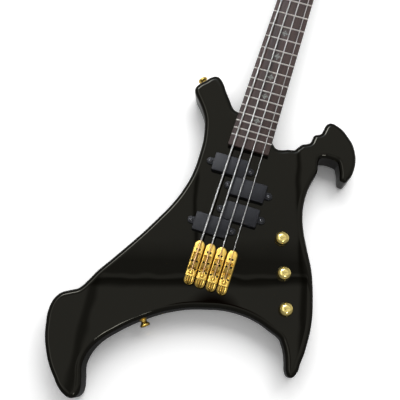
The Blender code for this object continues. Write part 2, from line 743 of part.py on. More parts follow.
def least_gap(points, diameter):
    """Least clear distance between the turns of a winding."""
    apart = POINTS_PER_TURN // 2
    gaps = [(Vector(a) - Vector(b)).length - diameter
            for i, a in enumerate(points) for b in points[i + apart:]]
    return min(gaps)


def make_strings():
    """Each string from its ball end over the saddle and the nut to its winding."""
    for index, name in enumerate(STRING_NAMES):
        diameter = STRING_DIAMETERS[index]
        x = string_x(index, 0.0)
        back = saddle_y(index) - SADDLE_TRAVEL_BACK - 3 * GAP
        nut = SCALE_LENGTH + NUT_LENGTH / 2
        ball = [(x, BALL_FRONT - BALL_END_LENGTH, BALL_HEIGHT), (x, BALL_FRONT - GAP, BALL_HEIGHT),
                (x, BALL_FRONT, BALL_HEIGHT)]
        wide = 2 * BALL_END_RADIUS / diameter
        route = ball + [(string_x(index, back), back, string_z(index, back)),
                        (string_x(index, nut), nut, string_z(index, nut))]
        winding = winding_points(index, route[-1])
        print(f"string_{name}: least gap between turns {1000 * least_gap(winding, diameter):.2f} mm")
        route += winding
        scales = [wide, wide] + [1.0] * (len(route) - 2)
        place(f"string_{name}", tube(route, diameter / 2, scales), "string_steel")


# Bridge

def make_bridge():
    """For each string a rail, a saddle in its channel and the thumbscrew that draws the saddle."""
    half = RAIL_WIDTH / 2
    for index, name in enumerate(STRING_NAMES):
        x = string_x(index, 0.0)
        outline = arc((x, RAIL_FRONT - half), half, 0, 180, 10)
        outline += [(x - half, -RAIL_BACK), (x + half, -RAIL_BACK)]
        rail = place(f"bridge_rail_{name}", prism(outline, RAIL_BOTTOM, RAIL_TOP, RAIL_EDGE), "gold_plate")
        inside = half - RAIL_WALL
        above = RAIL_TOP + RAIL_EDGE
        cut(rail, box((x - inside, -CHANNEL_BACK, CHANNEL_FLOOR),
                      (x + inside, CHANNEL_FRONT, above)), "channel")
        slot = STRING_DIAMETERS[index] / 2 + GAP
        cut(rail, box((x - slot, -CHANNEL_BACK - ANCHOR_WALL - GAP, BALL_HEIGHT - slot - GAP),
                      (x + slot, -CHANNEL_BACK + GAP, above)), "string_slot")
        pocket = BALL_END_RADIUS + GAP
        front = -CHANNEL_BACK - ANCHOR_WALL
        cut(rail, box((x - pocket, front - BALL_END_LENGTH - 3 * GAP, ANCHOR_FLOOR),
                      (x + pocket, front, above)), "ball_pocket")
        screw_hole = THUMB_SCREW_DIAMETER / 2 + GAP
        cut(rail, rod((x, -RAIL_BACK - RAIL_EDGE, THUMB_AXIS), (x, -CHANNEL_BACK + GAP, THUMB_AXIS),
                      screw_hole, sides=12), "screw_hole")
        make_saddle(index, name, x)
        make_thumbscrew(name, x)


def make_saddle(index, name, x):
    """A saddle block with a crest, a string groove and a bore for its screw."""
    crest = STRINGS_AT_BRIDGE - GAP
    base = CHANNEL_FLOOR + GAP
    back = SADDLE_FRONT - SADDLE_LENGTH
    fall = SADDLE_LENGTH / 2
    side = [(SADDLE_FRONT, base), (SADDLE_FRONT, crest), (0.0, crest + SADDLE_LIP),
            (back, crest + SADDLE_LIP - fall), (back, base)]
    width = RAIL_WIDTH - 2 * RAIL_WALL - 2 * GAP
    mesh = prism(side, -width / 2, width / 2)
    mesh.transform(Matrix(((0, 0, 1, 0), (1, 0, 0, 0), (0, 1, 0, 0), (0, 0, 0, 1))))
    where = (x, saddle_y(index), 0.0)
    saddle = place(f"bridge_saddle_{name}", mesh, "gold_plate", location=where, smooth=False)
    behind = back - GAP
    before = SADDLE_FRONT + GAP
    half = STRING_DIAMETERS[index] / 2 + GAP
    cut(saddle, box((-half, behind, crest), (half, before, crest + 2 * SADDLE_LIP)), "groove")
    bore = THUMB_SCREW_DIAMETER / 2 + GAP
    cut(saddle, rod((0.0, behind, THUMB_AXIS), (0.0, before, THUMB_AXIS), bore, sides=12), "bore")


def make_thumbscrew(name, x):
    """A thumb barrel behind the rail with a screw that runs forward under the string."""
    radius = THUMB_DIAMETER / 2
    round_end = THUMB_LENGTH / 4
    screw = THUMB_SCREW_DIAMETER / 2
    reach = RAIL_BACK + CHANNEL_FRONT - GAP
    profile = [
        (0.0, reach), (screw, reach), (screw, -GAP), (radius, -GAP), (radius, round_end - THUMB_LENGTH),
        (radius - round_end / 3, round_end / 3 - THUMB_LENGTH), (radius - round_end, -THUMB_LENGTH),
        (0.0, -THUMB_LENGTH),
    ]
    mesh = turned(profile, steps=12)
    mesh.transform(Matrix.Rotation(-math.pi / 2, 4, "X"))
    place(f"intonation_screw_{name}", mesh, "gold_plate", location=(x, -RAIL_BACK, THUMB_AXIS))


# Pickups and controls

def make_pickups():
    """Four closed pickup halves, each with two fixing ears that lie on the body."""
    for name, x, y in pickup_places():
        block = rounded_rectangle((0.0, 0.0), PICKUP_LENGTH, PICKUP_WIDTH, PICKUP_CORNER)
        low = BODY_TOP - PICKUP_DEPTH
        mesh = prism(block, low, BODY_TOP + PICKUP_RISE)
        pickup = place(name, mesh, "pickup_plastic", location=(x, y, 0.0))
        half = PICKUP_EAR_PITCH / 2
        ears = capsule((-half, 0.0), (half, 0.0), PICKUP_EAR_WIDTH / 2, steps=6)
        join(pickup, prism(ears, BODY_TOP + GAP, BODY_TOP + GAP + PICKUP_EAR_THICKNESS), "ears")


def make_controls():
    """Three controls, each a case with its bushing, a shaft and a domed knob."""
    bore = POT_SHAFT_DIAMETER / 2 + GAP
    case_top = CAVITY_CEILING - GAP
    case_bottom = case_top - POT_HEIGHT
    shaft_foot = case_bottom + POT_HEIGHT / 3
    bushing_top = BODY_TOP + POT_BUSHING_RISE
    case = [
        (bore, bushing_top), (POT_BUSHING_DIAMETER / 2, bushing_top), (POT_BUSHING_DIAMETER / 2, case_top),
        (POT_DIAMETER / 2, case_top), (POT_DIAMETER / 2, case_bottom), (0.0, case_bottom),
        (0.0, shaft_foot - GAP), (bore, shaft_foot - GAP),
    ]
    knob_bottom = BODY_TOP + KNOB_LIFT
    knob_top = knob_bottom + KNOB_HEIGHT
    shaft_top = knob_top - KNOB_CROWN - GAP
    recess_top = knob_bottom + KNOB_RECESS
    shaft = [(0.0, shaft_top), (POT_SHAFT_DIAMETER / 2, shaft_top), (POT_SHAFT_DIAMETER / 2, shaft_foot),
             (0.0, shaft_foot)]
    radius = KNOB_DIAMETER / 2
    dome = [(radius * math.sin(a), knob_top - KNOB_HEIGHT / 2 * (1 - math.cos(a)))
            for a in (math.pi / 2 * k / 5 for k in range(6))]
    knob = dome + [
        (radius, knob_bottom), (KNOB_RECESS_DIAMETER / 2, knob_bottom),
        (KNOB_RECESS_DIAMETER / 2, recess_top), (bore, recess_top),
        (bore, shaft_top + GAP), (0.0, shaft_top + GAP),
    ]
    for name, spot in zip(KNOB_NAMES, knob_places()):
        where = (*spot, 0.0)
        place(f"{name}_pot_case", turned_open(case, 16), "zinc_plate", location=where)
        place(f"{name}_pot_shaft", turned(shaft, 12), "zinc_plate", location=where)
        place(f"{name}_knob", turned(knob, 16), "gold_plate", location=where)


def turned_open(profile, steps):
    """A turned shape whose profile starts and ends off the axis but crosses it inside."""
    axis = next(i for i, (radius, height) in enumerate(profile) if radius == 0.0)
    return turned(profile[axis + 1:] + profile[:axis + 1], steps)


def make_covers():
    """The control cover on the back."""
    outline = capsule(KNOB_LINE_START, KNOB_LINE_END, CAVITY_RADIUS + COVER_LEDGE)
    place("control_cover", prism(outline, PLATE_RECESS, PLATE_RECESS + COVER_PLATE), "black_plastic")


def make_jack():
    """The output socket in the treble edge: a flanged barrel with a bore for the plug."""
    bore = JACK_BORE_DIAMETER / 2
    barrel = JACK_BARREL_DIAMETER / 2
    flange = JACK_FLANGE_DIAMETER / 2
    profile = [(bore, JACK_FLANGE), (flange, JACK_FLANGE), (flange, 0.0), (barrel, 0.0),
               (barrel, -JACK_BARREL_LENGTH), (bore, -JACK_BARREL_LENGTH)]
    outwards = Vector((1.0, 0.0, 0.0))
    where = jack_seat() + GAP * outwards
    place("output_jack", aimed(turned(profile, 16), outwards), "gold_plate", location=where)


def make_strap_buttons():
    """Two strap buttons, each turned in one piece with its screw."""
    base = BUTTON_BASE_DIAMETER / 2
    waist = BUTTON_WAIST_DIAMETER / 2
    rim = BUTTON_RIM_DIAMETER / 2
    screw = BUTTON_SCREW_DIAMETER / 2
    length = BUTTON_LENGTH
    profile = [
        (0.0, length), (rim - length / 12, length), (rim, length * 11 / 12), (rim, length * 3 / 4),
        (waist, length / 2), (waist, length / 4), (base, length / 8), (base, GAP), (screw, GAP),
        (screw, -BUTTON_SCREW_LENGTH), (0.0, -BUTTON_SCREW_LENGTH),
    ]
    for name, seat, facing in strap_button_seats():
        place(name, aimed(turned(profile, 12), facing), "gold_plate", location=seat)


def make_neck_fixing():
    """The neck plate let into the back and its four countersunk screws."""
    bottom = PLATE_RECESS
    mesh = prism(neck_plate_outline(), bottom, bottom + NECK_PLATE_THICKNESS)
    plate = place("neck_plate", mesh, "gold_plate")
    head = NECK_SCREW_HEAD_DIAMETER / 2
    shank = NECK_SCREW_DIAMETER / 2
    start = bottom + GAP
    end = POCKET_FLOOR + NECK_SCREW_BITE
    profile = [(0.0, end), (shank, end), (shank, start + NECK_SCREW_HEAD), (head, start), (0.0, start)]
    for index, spot in enumerate(neck_plate_outline(NECK_SCREW_INSET)):
        place(f"neck_screw_{index + 1}", turned(profile, 12), "gold_plate", location=(*spot, 0.0))
        above = bottom + 2 * NECK_PLATE_THICKNESS
        sink = turned([(0.0, above), (shank + GAP, above), (shank + GAP, start + NECK_SCREW_HEAD),
                       (head + 3 * GAP, bottom - GAP), (0.0, bottom - GAP)], 12)
        sink.transform(Matrix.Translation((*spot, 0.0)))
        cut(plate, sink, f"countersink_{index + 1}")


# Tuners

def wheel_outline():
    """Outline of the worm wheel, with a gap between two teeth towards +Y."""
    root = WHEEL_PITCH_RADIUS - WHEEL_DEDENDUM
    tip = WHEEL_PITCH_RADIUS + WHEEL_ADDENDUM
    step = 2 * math.pi / WHEEL_TEETH
    outline = []
    for tooth in range(WHEEL_TEETH):
        middle = math.pi / 2 + step * (tooth + 0.5)
        for radius, share in ((root, -TOOTH_ROOT_SHARE), (tip, -TOOTH_TIP_SHARE),
                              (tip, TOOTH_TIP_SHARE), (root, TOOTH_ROOT_SHARE)):
            angle = middle + share * step / 2
            outline.append((radius * math.cos(angle), radius * math.sin(angle)))
    return outline


def finished(piece):
    """The mesh of a piece with its joins and cuts made, for use by several copies."""
    graph = bpy.context.evaluated_depsgraph_get()
    mesh = bpy.data.meshes.new_from_object(piece.evaluated_get(graph), depsgraph=graph)
    for modifier in piece.modifiers:
        bpy.data.objects.remove(modifier.object, do_unlink=True)
    bpy.data.objects.remove(piece, do_unlink=True)
    return mesh


def tuner_housing_mesh():
    """The plate on the back of the head, with a window for the worm and two bearing lugs."""
    lug_gap = WORM_TURNS / 2 * WORM_PITCH + 2 * WORM_THREAD
    reach = lug_gap + LUG_THICKNESS
    wheel = WHEEL_PITCH_RADIUS + WHEEL_ADDENDUM
    lug_half = WORM_SHAFT_DIAMETER
    top = -GAP
    bottom = top - TUNER_PLATE
    far = WORM_OFFSET + lug_half
    mesh = box((-reach, -wheel, bottom), (reach, far, top))
    housing = place("housing_blank", mesh, "gold_plate", smooth=False)
    lug_foot = WORM_HEIGHT - lug_half
    lug_near = math.sqrt((wheel + RUNNING_GAP) ** 2 - lug_gap ** 2)
    for label, start in (("inner", -reach), ("outer", lug_gap)):
        lug = box((start, lug_near, lug_foot), (start + LUG_THICKNESS, far, bottom + GAP))
        join(housing, lug, f"{label}_lug")
    window = WORM_PITCH_RADIUS + WORM_THREAD + RUNNING_GAP
    cut(housing, box((-lug_gap, WORM_OFFSET - window, bottom - GAP),
                     (lug_gap, far + GAP, top + GAP)), "window")
    bore = WORM_SHAFT_DIAMETER / 2 + GAP
    cut(housing, rod((-2 * reach, WORM_OFFSET, WORM_HEIGHT), (2 * reach, WORM_OFFSET, WORM_HEIGHT),
                     bore, sides=12), "bore")
    hole = POST_DIAMETER / 2 + GAP
    cut(housing, rod((0.0, 0.0, bottom - GAP), (0.0, 0.0, top + GAP), hole, sides=12), "post_hole")
    return finished(housing)


def tuner_post_mesh():
    """The string post with the worm wheel on its foot."""
    radius = POST_DIAMETER / 2
    top = HEAD_THICKNESS + POST_HEIGHT
    foot = WHEEL_TOP - WHEEL_THICKNESS
    end = foot - WHEEL_THICKNESS / 2
    profile = [(0.0, top), (radius * 0.8, top), (radius, top - radius * 0.2), (radius, end), (0.0, end)]
    post = place("post_blank", turned(profile, 12), "gold_plate")
    join(post, prism(wheel_outline(), foot, WHEEL_TOP), "wheel")
    return finished(post)


def tuner_key_mesh():
    """The worm, its shaft and the key, about the shaft's axis along X."""
    shaft = WORM_SHAFT_DIAMETER / 2
    reach = WORM_TURNS / 2 * WORM_PITCH + 2 * WORM_THREAD + LUG_THICKNESS
    middle = KEY_REACH + KEY_LENGTH / 2
    key = place("key_blank", rod((-reach - GAP, 0.0, 0.0), (middle, 0.0, 0.0), shaft, sides=8), "gold_plate")
    per_turn = 8
    count = round(WORM_TURNS * per_turn)
    thread = []
    for k in range(count + 1):
        turn = WORM_TURNS * (k / count - 0.5)
        angle = math.pi + 2 * math.pi * turn
        ring = WORM_PITCH_RADIUS - WORM_THREAD / 3
        thread.append((WORM_PITCH * turn, ring * math.cos(angle), ring * math.sin(angle)))
    join(key, tube(thread, WORM_THREAD, resolution=0), "thread")
    outline = rounded_rectangle((middle, 0.0), KEY_LENGTH, KEY_WIDTH, KEY_CORNER)
    edge = KEY_THICKNESS / 4
    join(key, prism(outline, -KEY_THICKNESS / 2, KEY_THICKNESS / 2, edge, rounding=0), "paddle")
    return finished(key)


def make_tuners():
    """Four tuners: housing, post with wheel, key with worm, and the bushing on the face of the head."""
    housing = tuner_housing_mesh()
    post = tuner_post_mesh()
    key = tuner_key_mesh()
    bore = POST_DIAMETER / 2 + GAP
    flange_bottom = HEAD_THICKNESS + GAP
    flange_top = flange_bottom + BUSHING_FLANGE
    sleeve = HEAD_THICKNESS / 3
    profile = [(bore, flange_top), (BUSHING_FLANGE_DIAMETER / 2, flange_top),
               (BUSHING_FLANGE_DIAMETER / 2, flange_bottom), (BUSHING_DIAMETER / 2, flange_bottom),
               (BUSHING_DIAMETER / 2, sleeve), (bore, sleeve)]
    bushing = turned(profile, 12)
    for index, name in enumerate(STRING_NAMES):
        x, y, side = post_place(index)
        base = bpy.data.objects.new(f"tuner_{name}", None)
        base.location = (x, y, HEAD_BACK)
        base.rotation_euler = (0.0, 0.0, 0.0 if side > 0 else math.pi)
        COLLECTION.objects.link(base)
        place(f"tuner_housing_{name}", housing, "gold_plate", parent=base, smooth=False)
        place(f"tuner_post_{name}", post, "gold_plate", parent=base)
        place(f"tuner_key_{name}", key, "gold_plate", location=(0.0, WORM_OFFSET, WORM_HEIGHT), parent=base)
        place(f"tuner_bushing_{name}", bushing, "gold_plate", parent=base)


def main():
    clear_scene()
    make_materials()
    make_body()
    make_neck()
    make_truss_rod()
    make_truss_rod_cover()
    make_fretboard()
    make_nut()
    make_strings()
    make_bridge()
    make_pickups()
    make_controls()
    make_covers()
    make_jack()
    make_strap_buttons()
    make_neck_fixing()
    make_tuners()


if __name__ == "__main__":
    main()
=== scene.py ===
"""Finish and detail of a gloss-black four-string electric bass guitar with gold hardware.

Metres, +Z out of the front, +Y along the neck to the head, +X to the treble side.
"""

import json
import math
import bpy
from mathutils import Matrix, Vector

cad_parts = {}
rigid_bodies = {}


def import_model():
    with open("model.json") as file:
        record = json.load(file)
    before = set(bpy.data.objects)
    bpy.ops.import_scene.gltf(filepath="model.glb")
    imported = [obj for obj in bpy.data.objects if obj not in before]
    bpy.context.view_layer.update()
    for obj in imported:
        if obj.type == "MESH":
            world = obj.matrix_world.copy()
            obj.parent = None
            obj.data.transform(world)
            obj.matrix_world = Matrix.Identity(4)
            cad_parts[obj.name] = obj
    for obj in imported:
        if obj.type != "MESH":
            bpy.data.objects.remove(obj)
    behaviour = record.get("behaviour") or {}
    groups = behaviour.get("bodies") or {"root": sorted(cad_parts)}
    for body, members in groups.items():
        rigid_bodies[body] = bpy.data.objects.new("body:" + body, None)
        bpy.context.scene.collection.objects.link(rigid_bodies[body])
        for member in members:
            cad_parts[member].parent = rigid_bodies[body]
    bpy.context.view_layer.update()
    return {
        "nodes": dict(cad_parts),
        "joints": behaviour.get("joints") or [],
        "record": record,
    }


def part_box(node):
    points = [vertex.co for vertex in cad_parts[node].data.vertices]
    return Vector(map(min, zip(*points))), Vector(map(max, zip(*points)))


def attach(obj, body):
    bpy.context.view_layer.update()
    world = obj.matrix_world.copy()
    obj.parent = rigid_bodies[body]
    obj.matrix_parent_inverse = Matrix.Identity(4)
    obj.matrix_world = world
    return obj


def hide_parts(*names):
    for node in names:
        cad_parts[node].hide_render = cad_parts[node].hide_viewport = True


bl_info = {
    "name": "Winged Bass Guitar",
    "version": (1, 0, 0),
    "blender": (4, 5, 0),
    "location": "View3D > Sidebar > Bass",
    "description": "Dresses a jointed bass guitar in lacquer, rosewood, gold and steel",
    "category": "Object",
}

import bmesh
import bpy
from bpy.props import FloatProperty, FloatVectorProperty, IntProperty, PointerProperty
from mathutils import Matrix, Vector
from mathutils.geometry import convex_hull_2d, delaunay_2d_cdt
from mathutils.kdtree import KDTree

for leftover in list(bpy.data.objects):
    bpy.data.objects.remove(leftover, do_unlink=True)
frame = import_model()
JOINTS = {joint["name"]: joint for joint in frame["joints"]}
MOUNTS = {mount["name"]: mount for mount in frame["record"]["mounts"]}

# Clearances
GAP = 0.0003
RUNNING_GAP = 0.0004

# Strings
STRINGS = ("e", "a", "d", "g")
STRING_DIAMETERS = (0.0027, 0.0022, 0.0017, 0.0012)
STRING_PITCH_NUT = 0.0108
STRING_RISE_AT_BRIDGE = 0.0147
STRING_OVER_FIRST_FRET = 0.0005
BALL_RADIUS = 0.0028
BALL_LENGTH = 0.005
BALL_WAIST = 0.7 * BALL_RADIUS
BALL_BEHIND_RAIL_END = 0.0082
THUMB_SCREW_RADIUS = 0.0015
WINDING_TURNS = 2.0
WINDING_GAP = 0.0007
WRAP_PITCH = 0.00055
BEND_AT_BRIDGE = 0.0015
BEND_AT_NUT = 0.003

# Board, frets, nut and head, as far as possible from the frame
BODY_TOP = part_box("body")[1].z
BOARD_LOW, BOARD_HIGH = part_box("fretboard")
FRET_COUNT = 26
FRET_HEIGHT = 0.0011
FRET_WIDTH = 0.0026
FRET_CROWN = 0.85 * FRET_WIDTH
FRET_SHORTER = 0.0008
BOARD_TOP = BOARD_HIGH.z - FRET_HEIGHT
BOARD_END = BOARD_LOW.y
SCALE_LENGTH = BOARD_HIGH.y + GAP
NECK_TOP = BOARD_LOW.z - GAP
NUT_LOW, NUT_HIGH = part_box("nut")
NUT_WIDTH = NUT_HIGH.x - NUT_LOW.x
HEAD_BACK = JOINTS["post_e_turn"]["pos_m"][2]
HEAD_THICKNESS = 0.0125
HEAD_FACE = HEAD_BACK + HEAD_THICKNESS
POCKET_FLOOR = BODY_TOP - 0.016

# Body, its openings and what is fitted to it
OUTLINE_LEVEL = 0.004
OUTLINE_STEP = 0.0012
CUT_OVERRUN = 0.01
SEAT_CUT = 0.02
PICKUPS = ("front_bass", "front_treble", "rear_treble", "rear_bass")
PICKUP_LENGTH = 0.0525
PICKUP_WIDTH = 0.0278
PICKUP_CORNER = 0.0015
PICKUP_DEPTH = 0.020
PICKUP_EAR_PITCH = 0.063
PICKUP_EAR_WIDTH = 0.011
PICKUP_EAR_THICKNESS = 0.003
PICKUP_ROUTE_PLAY = (0.001, 0.0007)
PLASTIC_EDGE = 0.0007
CONTROLS = ("volume", "blend", "tone")
CAVITY_WALL = 0.008
CAVITY_INSET = 0.004
BUSHING_HOLE = 0.005
KNOB_DOME = 0.58
KNOB_FULLNESS = 0.74
KNOB_BORE = 0.0033
KNOB_TOP_WALL = 0.0025
KNOB_HOLLOW = (0.0075, 0.0035)
KNOB_GROOVE = (0.0014, 0.0019, 0.0024)
KNOB_GROOVE_DEPTH = 0.0006
JACK_FLANGE = 0.0028
JACK_HOLE = 0.0061
JACK_BORE = 0.0034
JACK_BARREL = 0.0058
BUTTON_LENGTH = 0.0125
BUTTON_SCREW_LENGTH = 0.020
BUTTON_SCREW = 0.0021
BUTTON_HEAD = 0.00725
BUTTON_WAIST = 0.00425
BUTTON_FOOT = 0.006
BUTTON_SEAT = 0.0063
SMALL_SCREW = 0.0036
NECK_SCREW = 0.009
NECK_SCREW_SUNK = 0.0002
COVER_SCREW_INSET = 0.0026
ROD_COVER_SCREW_INSET = 0.0035

# Where the body stands out beyond its solid: start, full, fading and end of each stretch
BASS_STRETCH_Y = (-0.115, -0.07, 0.0, 0.16)
HORN_STRETCH_Y = (0.04, 0.19, 0.187, 0.222)
ARCH_STRETCH_X = (-0.14, -0.08, 0.035, 0.095)
ARCH_STRETCH_Y = (-0.19, -0.15, -0.03, 0.0)
TREBLE_STRETCH_Y = (-0.09, -0.03, 0.07, 0.12)

# Turn of the picture about Z, with its two directions along the floor
LEAN = math.radians(17.19)
PICTURE_RIGHT = (math.cos(LEAN), math.sin(LEAN), 0.0)
PICTURE_UP = (-math.sin(LEAN), math.cos(LEAN), 0.0)

# Bridge, with Y from the scale's end and distances from a rail's or a saddle's ends
CHANNEL_BACK = -0.0205
CHANNEL_FRONT = 0.004
CHANNEL_WALL = 0.002
GROOVE_FRONT = -0.0202
GROOVE_BEHIND_RAIL_END = 0.0078
BALL_POCKET = (0.0026, 0.0085)
BALL_POCKET_HALF = 0.0031
THUMB_SCREW_HOLE = 0.0018
RAIL_FRONT_SCREWS = (0.0142, 0.00205)
RAIL_BACK_SCREWS = (0.0101, 0.0046)
SADDLE_LENGTH = 0.009
SADDLE_CREST_SETBACK = 0.002
HEIGHT_SCREW_SETBACK = 0.0025

# Neck, head and fretboard
HEEL_END = BOARD_END + 0.070
POCKET_END = HEEL_END + 0.070
HEEL_BLEND = 0.045
HEEL_BLEND_LEAD = 0.012
NECK_SIDE = 0.002
NECK_DEPTH_AT_HEEL = 0.017
NECK_DEPTH_AT_NUT = 0.0145
NECK_ROUNDNESS = 0.85
HEEL_ROUNDNESS = 0.18
NUT_BACK = NUT_HIGH.y + GAP
HEAD_RAMP = 0.016
HEAD_OVERLAP = 0.001
HEAD_EDGE = 0.0016
HEAD_STEP = 0.0015
POST_HOLE = 0.0067
HEAD_HALF_OUTLINE = (
    (0.0212, 0.004), (0.0300, 0.014), (0.0375, 0.032), (0.0390, 0.056),
    (0.0350, 0.118), (0.0330, 0.140), (0.0180, 0.148), (0.0080, 0.163),
)
ROD_SLOT = 0.0031
ROD_SLOT_LEAD = 0.003
BOARD_EDGE = 0.0006
INLAY_SPACES = (3, 5, 7, 9, 12, 15, 17, 19, 21, 24)
INLAY_WAIST = 0.46
INLAY_THICKNESS = 0.0002
NUT_EDGE = 0.00025

# Tuners
WHEEL_TEETH = 20
WHEEL_PITCH_RADIUS = 0.009
WHEEL_ADDENDUM = 0.00055
WHEEL_DEDENDUM = 0.001
WHEEL_THICKNESS = 0.0026
WHEEL_TOP = -GAP - 0.002 - RUNNING_GAP
TOOTH_ROOT_SHARE = 0.44
TOOTH_TIP_SHARE = 0.22
WORM_PITCH = 2 * math.pi * WHEEL_PITCH_RADIUS / WHEEL_TEETH
WORM_PITCH_RADIUS = 0.0029
WORM_SHAFT_RADIUS = 0.002
WORM_THREAD = 0.00085
WORM_TURNS = 2.5
WORM_OFFSET = WHEEL_PITCH_RADIUS + WORM_PITCH_RADIUS
WORM_HEIGHT = WHEEL_TOP - WHEEL_THICKNESS / 2
POST_RADIUS = 0.004
KEY_LENGTH = 0.020
KEY_WIDTH = 0.026
KEY_THICKNESS = 0.007
KEY_CORNER = 0.009
KEY_EDGE = 0.0026
WORM_BEARING = 0.0026
BUSHING_RADIUS = 0.0064
BUSHING_FLANGE = 0.0085
BUSHING_RISE = 0.002


# Settings

def length(name, description, default):
    """A size that a user may change."""
    return FloatProperty(name=name, description=description, default=default, min=0.0, precision=5,
                         unit="LENGTH", subtype="DISTANCE")


def colour(name, description, default):
    """A colour that a user may change."""
    return FloatVectorProperty(name=name, description=description, default=default, size=3,
                               min=0.0, max=1.0, subtype="COLOR")


class BassForm(bpy.types.PropertyGroup):
    top_width: length("Top width", "Width of the body's rounded upper edge", 0.0072)
    top_drop: length("Top drop", "Depth of the body's rounded upper edge", 0.0060)
    back_round: length("Back round", "Radius of the body's lower edge", 0.005)
    bass_swell: length("Bass swell", "Fullness of the bass side's long edge beyond the solid", 0.0024)
    horn_swell: length("Horn swell", "Fullness of the bass horn's waist beyond the solid", 0.0022)
    arch_swell: length("Arch swell", "Fullness of the arch between the wings beyond the solid", 0.0013)
    treble_swell: length("Treble swell", "Fullness of the treble side's waist beyond the solid", 0.0012)
    rail_round: length("Rail round", "Radius of the bridge rails' upper edge", 0.0022)
    pickup_round: length("Pickup round", "Radius of the pickup cases' upper edge", 0.0005)
    small_round: length("Small round", "Radius of the small hardware's edges", 0.0004)
    screw_head: length("Screw head", "Diameter of the pickups' screws", 0.0056)
    socket_head: length("Socket head", "Diameter of the bridge's socket screws", 0.0030)
    height_screw: length("Height screw", "Diameter of the saddles' height screws", 0.0031)
    inlay: length("Inlay", "Width of the marks in the fretboard", 0.0132)
    barrel_end: length("Barrel end", "Length of a thumb barrel's round end", 0.0062)
    rib: length("Rib", "Radius of a rib on a thumb barrel", 0.00105)
    ribs: IntProperty(name="Ribs", description="Ribs round a thumb barrel", default=10, min=3)


class BassFinish(bpy.types.PropertyGroup):
    lacquer: colour("Lacquer", "Body and neck", (0.0016, 0.0014, 0.0008))
    rosewood: colour("Rosewood", "Fretboard", (0.043, 0.026, 0.0225))
    gold: colour("Gold", "Knobs, output socket, neck plate and tuners", (0.97, 0.765, 0.265))
    satin_gold: colour("Satin gold", "Bridge, ball ends and strap buttons", (0.93, 0.63, 0.145))
    steel: colour("Steel", "Strings", (0.58, 0.575, 0.56))
    # Gold tint of the strings over the bridge: a painted reflection of the rails under them
    painted_rail_reflection: colour("Worn steel", "Strings over the bridge", (0.86, 0.56, 0.27))
    nickel: colour("Nickel", "Frets", (0.69, 0.65, 0.60))
    pearl: colour("Pearl", "Fretboard marks", (0.135, 0.138, 0.125))
    bone: colour("Bone", "Nut", (0.76, 0.71, 0.60))
    plastic: colour("Plastic", "Pickups and covers", (0.0075, 0.0079, 0.0100))
    zinc: colour("Zinc", "Hidden steel", (0.55, 0.55, 0.57))


class BassStage(bpy.types.PropertyGroup):
    camera: FloatVectorProperty(
        name="Camera", description="Place of the camera", default=(0.06069, -0.13682, 1.00959),
        subtype="TRANSLATION", unit="LENGTH")
    aim: FloatVectorProperty(
        name="Aim", description="Turn of the camera", default=(0.24472, 0.036279, 0.309573),
        subtype="EULER", unit="ROTATION")
    lens: FloatProperty(name="Lens", description="Focal length in millimetres", default=60.21, min=1.0)
    floor: colour("Floor", "Plain pale floor", (0.80, 0.80, 0.80))
    floor_lift: FloatProperty(name="Floor lift", description="How much brighter the camera sees the floor",
                              default=1.55, min=1.0)
    key: FloatProperty(name="Key", description="Power of the soft key lamp", default=50.0, unit="POWER")
    fill: FloatProperty(name="Fill", description="Power of the soft fill lamp", default=4.0, unit="POWER")


# Node trees

class Graph:
    """Adds nodes to a tree and links their sockets."""

    def __init__(self, tree):
        self.tree = tree

    def add(self, kind, inputs=None, **settings):
        node = self.tree.nodes.new(kind)
        for key, value in settings.items():
            setattr(node, key, value)
        for key, value in (inputs or {}).items():
            if isinstance(value, bpy.types.NodeSocket):
                self.tree.links.new(value, node.inputs[key])
            else:
                node.inputs[key].default_value = value
        return node

    def math(self, operation, first, second=0.0, third=0.0):
        inputs = {0: first, 1: second, 2: third}
        return self.add("ShaderNodeMath", inputs, operation=operation).outputs[0]

    def product(self, first, second):
        return self.math("MULTIPLY", first, second)

    def vector(self, operation, first, second):
        return self.add("ShaderNodeVectorMath", {0: first, 1: second}, operation=operation).outputs[0]

    def scaled(self, vector, factor):
        return self.add("ShaderNodeVectorMath", {0: vector, "Scale": factor}, operation="SCALE").outputs[0]

    def along(self, vector, axis):
        node = self.add("ShaderNodeVectorMath", {0: vector, 1: axis}, operation="DOT_PRODUCT")
        return node.outputs["Value"]

    def part(self, vector, index):
        return self.add("ShaderNodeSeparateXYZ", {0: vector}).outputs[index]

    def combine(self, x, y, z):
        return self.add("ShaderNodeCombineXYZ", {0: x, 1: y, 2: z}).outputs[0]

    def stretched(self, vector, scale):
        return self.add("ShaderNodeMapping", {"Vector": vector, "Scale": scale}).outputs[0]

    def noise(self, vector, scale, detail, rough=0.5):
        inputs = {"Vector": vector, "Scale": scale, "Detail": detail, "Roughness": rough}
        return self.add("ShaderNodeTexNoise", inputs).outputs["Fac"]

    def span(self, value, low, high, start=0.0, end=1.0):
        inputs = {0: value, 1: low, 2: high, 3: start, 4: end}
        return self.add("ShaderNodeMapRange", inputs).outputs[0]

    def mix(self, share, first, second):
        inputs = {0: share, 6: first, 7: second}
        return self.add("ShaderNodeMix", inputs, data_type="RGBA").outputs[2]

    def ramp(self, value, stops):
        node = self.add("ShaderNodeValToRGB", {0: value})
        elements = node.color_ramp.elements
        while len(elements) < len(stops):
            elements.new(0.5)
        for element, (place, tone) in zip(elements, stops):
            element.position = place
            element.color = (tone, tone, tone, 1.0)
        return node.outputs["Color"]

    def blend(self, share, first, second):
        inputs = {0: share, 1: first.outputs[0], 2: second.outputs[0]}
        return self.add("ShaderNodeMixShader", inputs)

    def bump(self, height, strength, distance):
        inputs = {"Height": height, "Strength": strength, "Distance": distance}
        return self.add("ShaderNodeBump", inputs).outputs["Normal"]


def rgb(values, share=1.0):
    """A colour socket's value, darkened or lightened by a share."""
    return (*(min(1.0, share * value) for value in values), 1.0)


# Finishes

FINISHES = {}


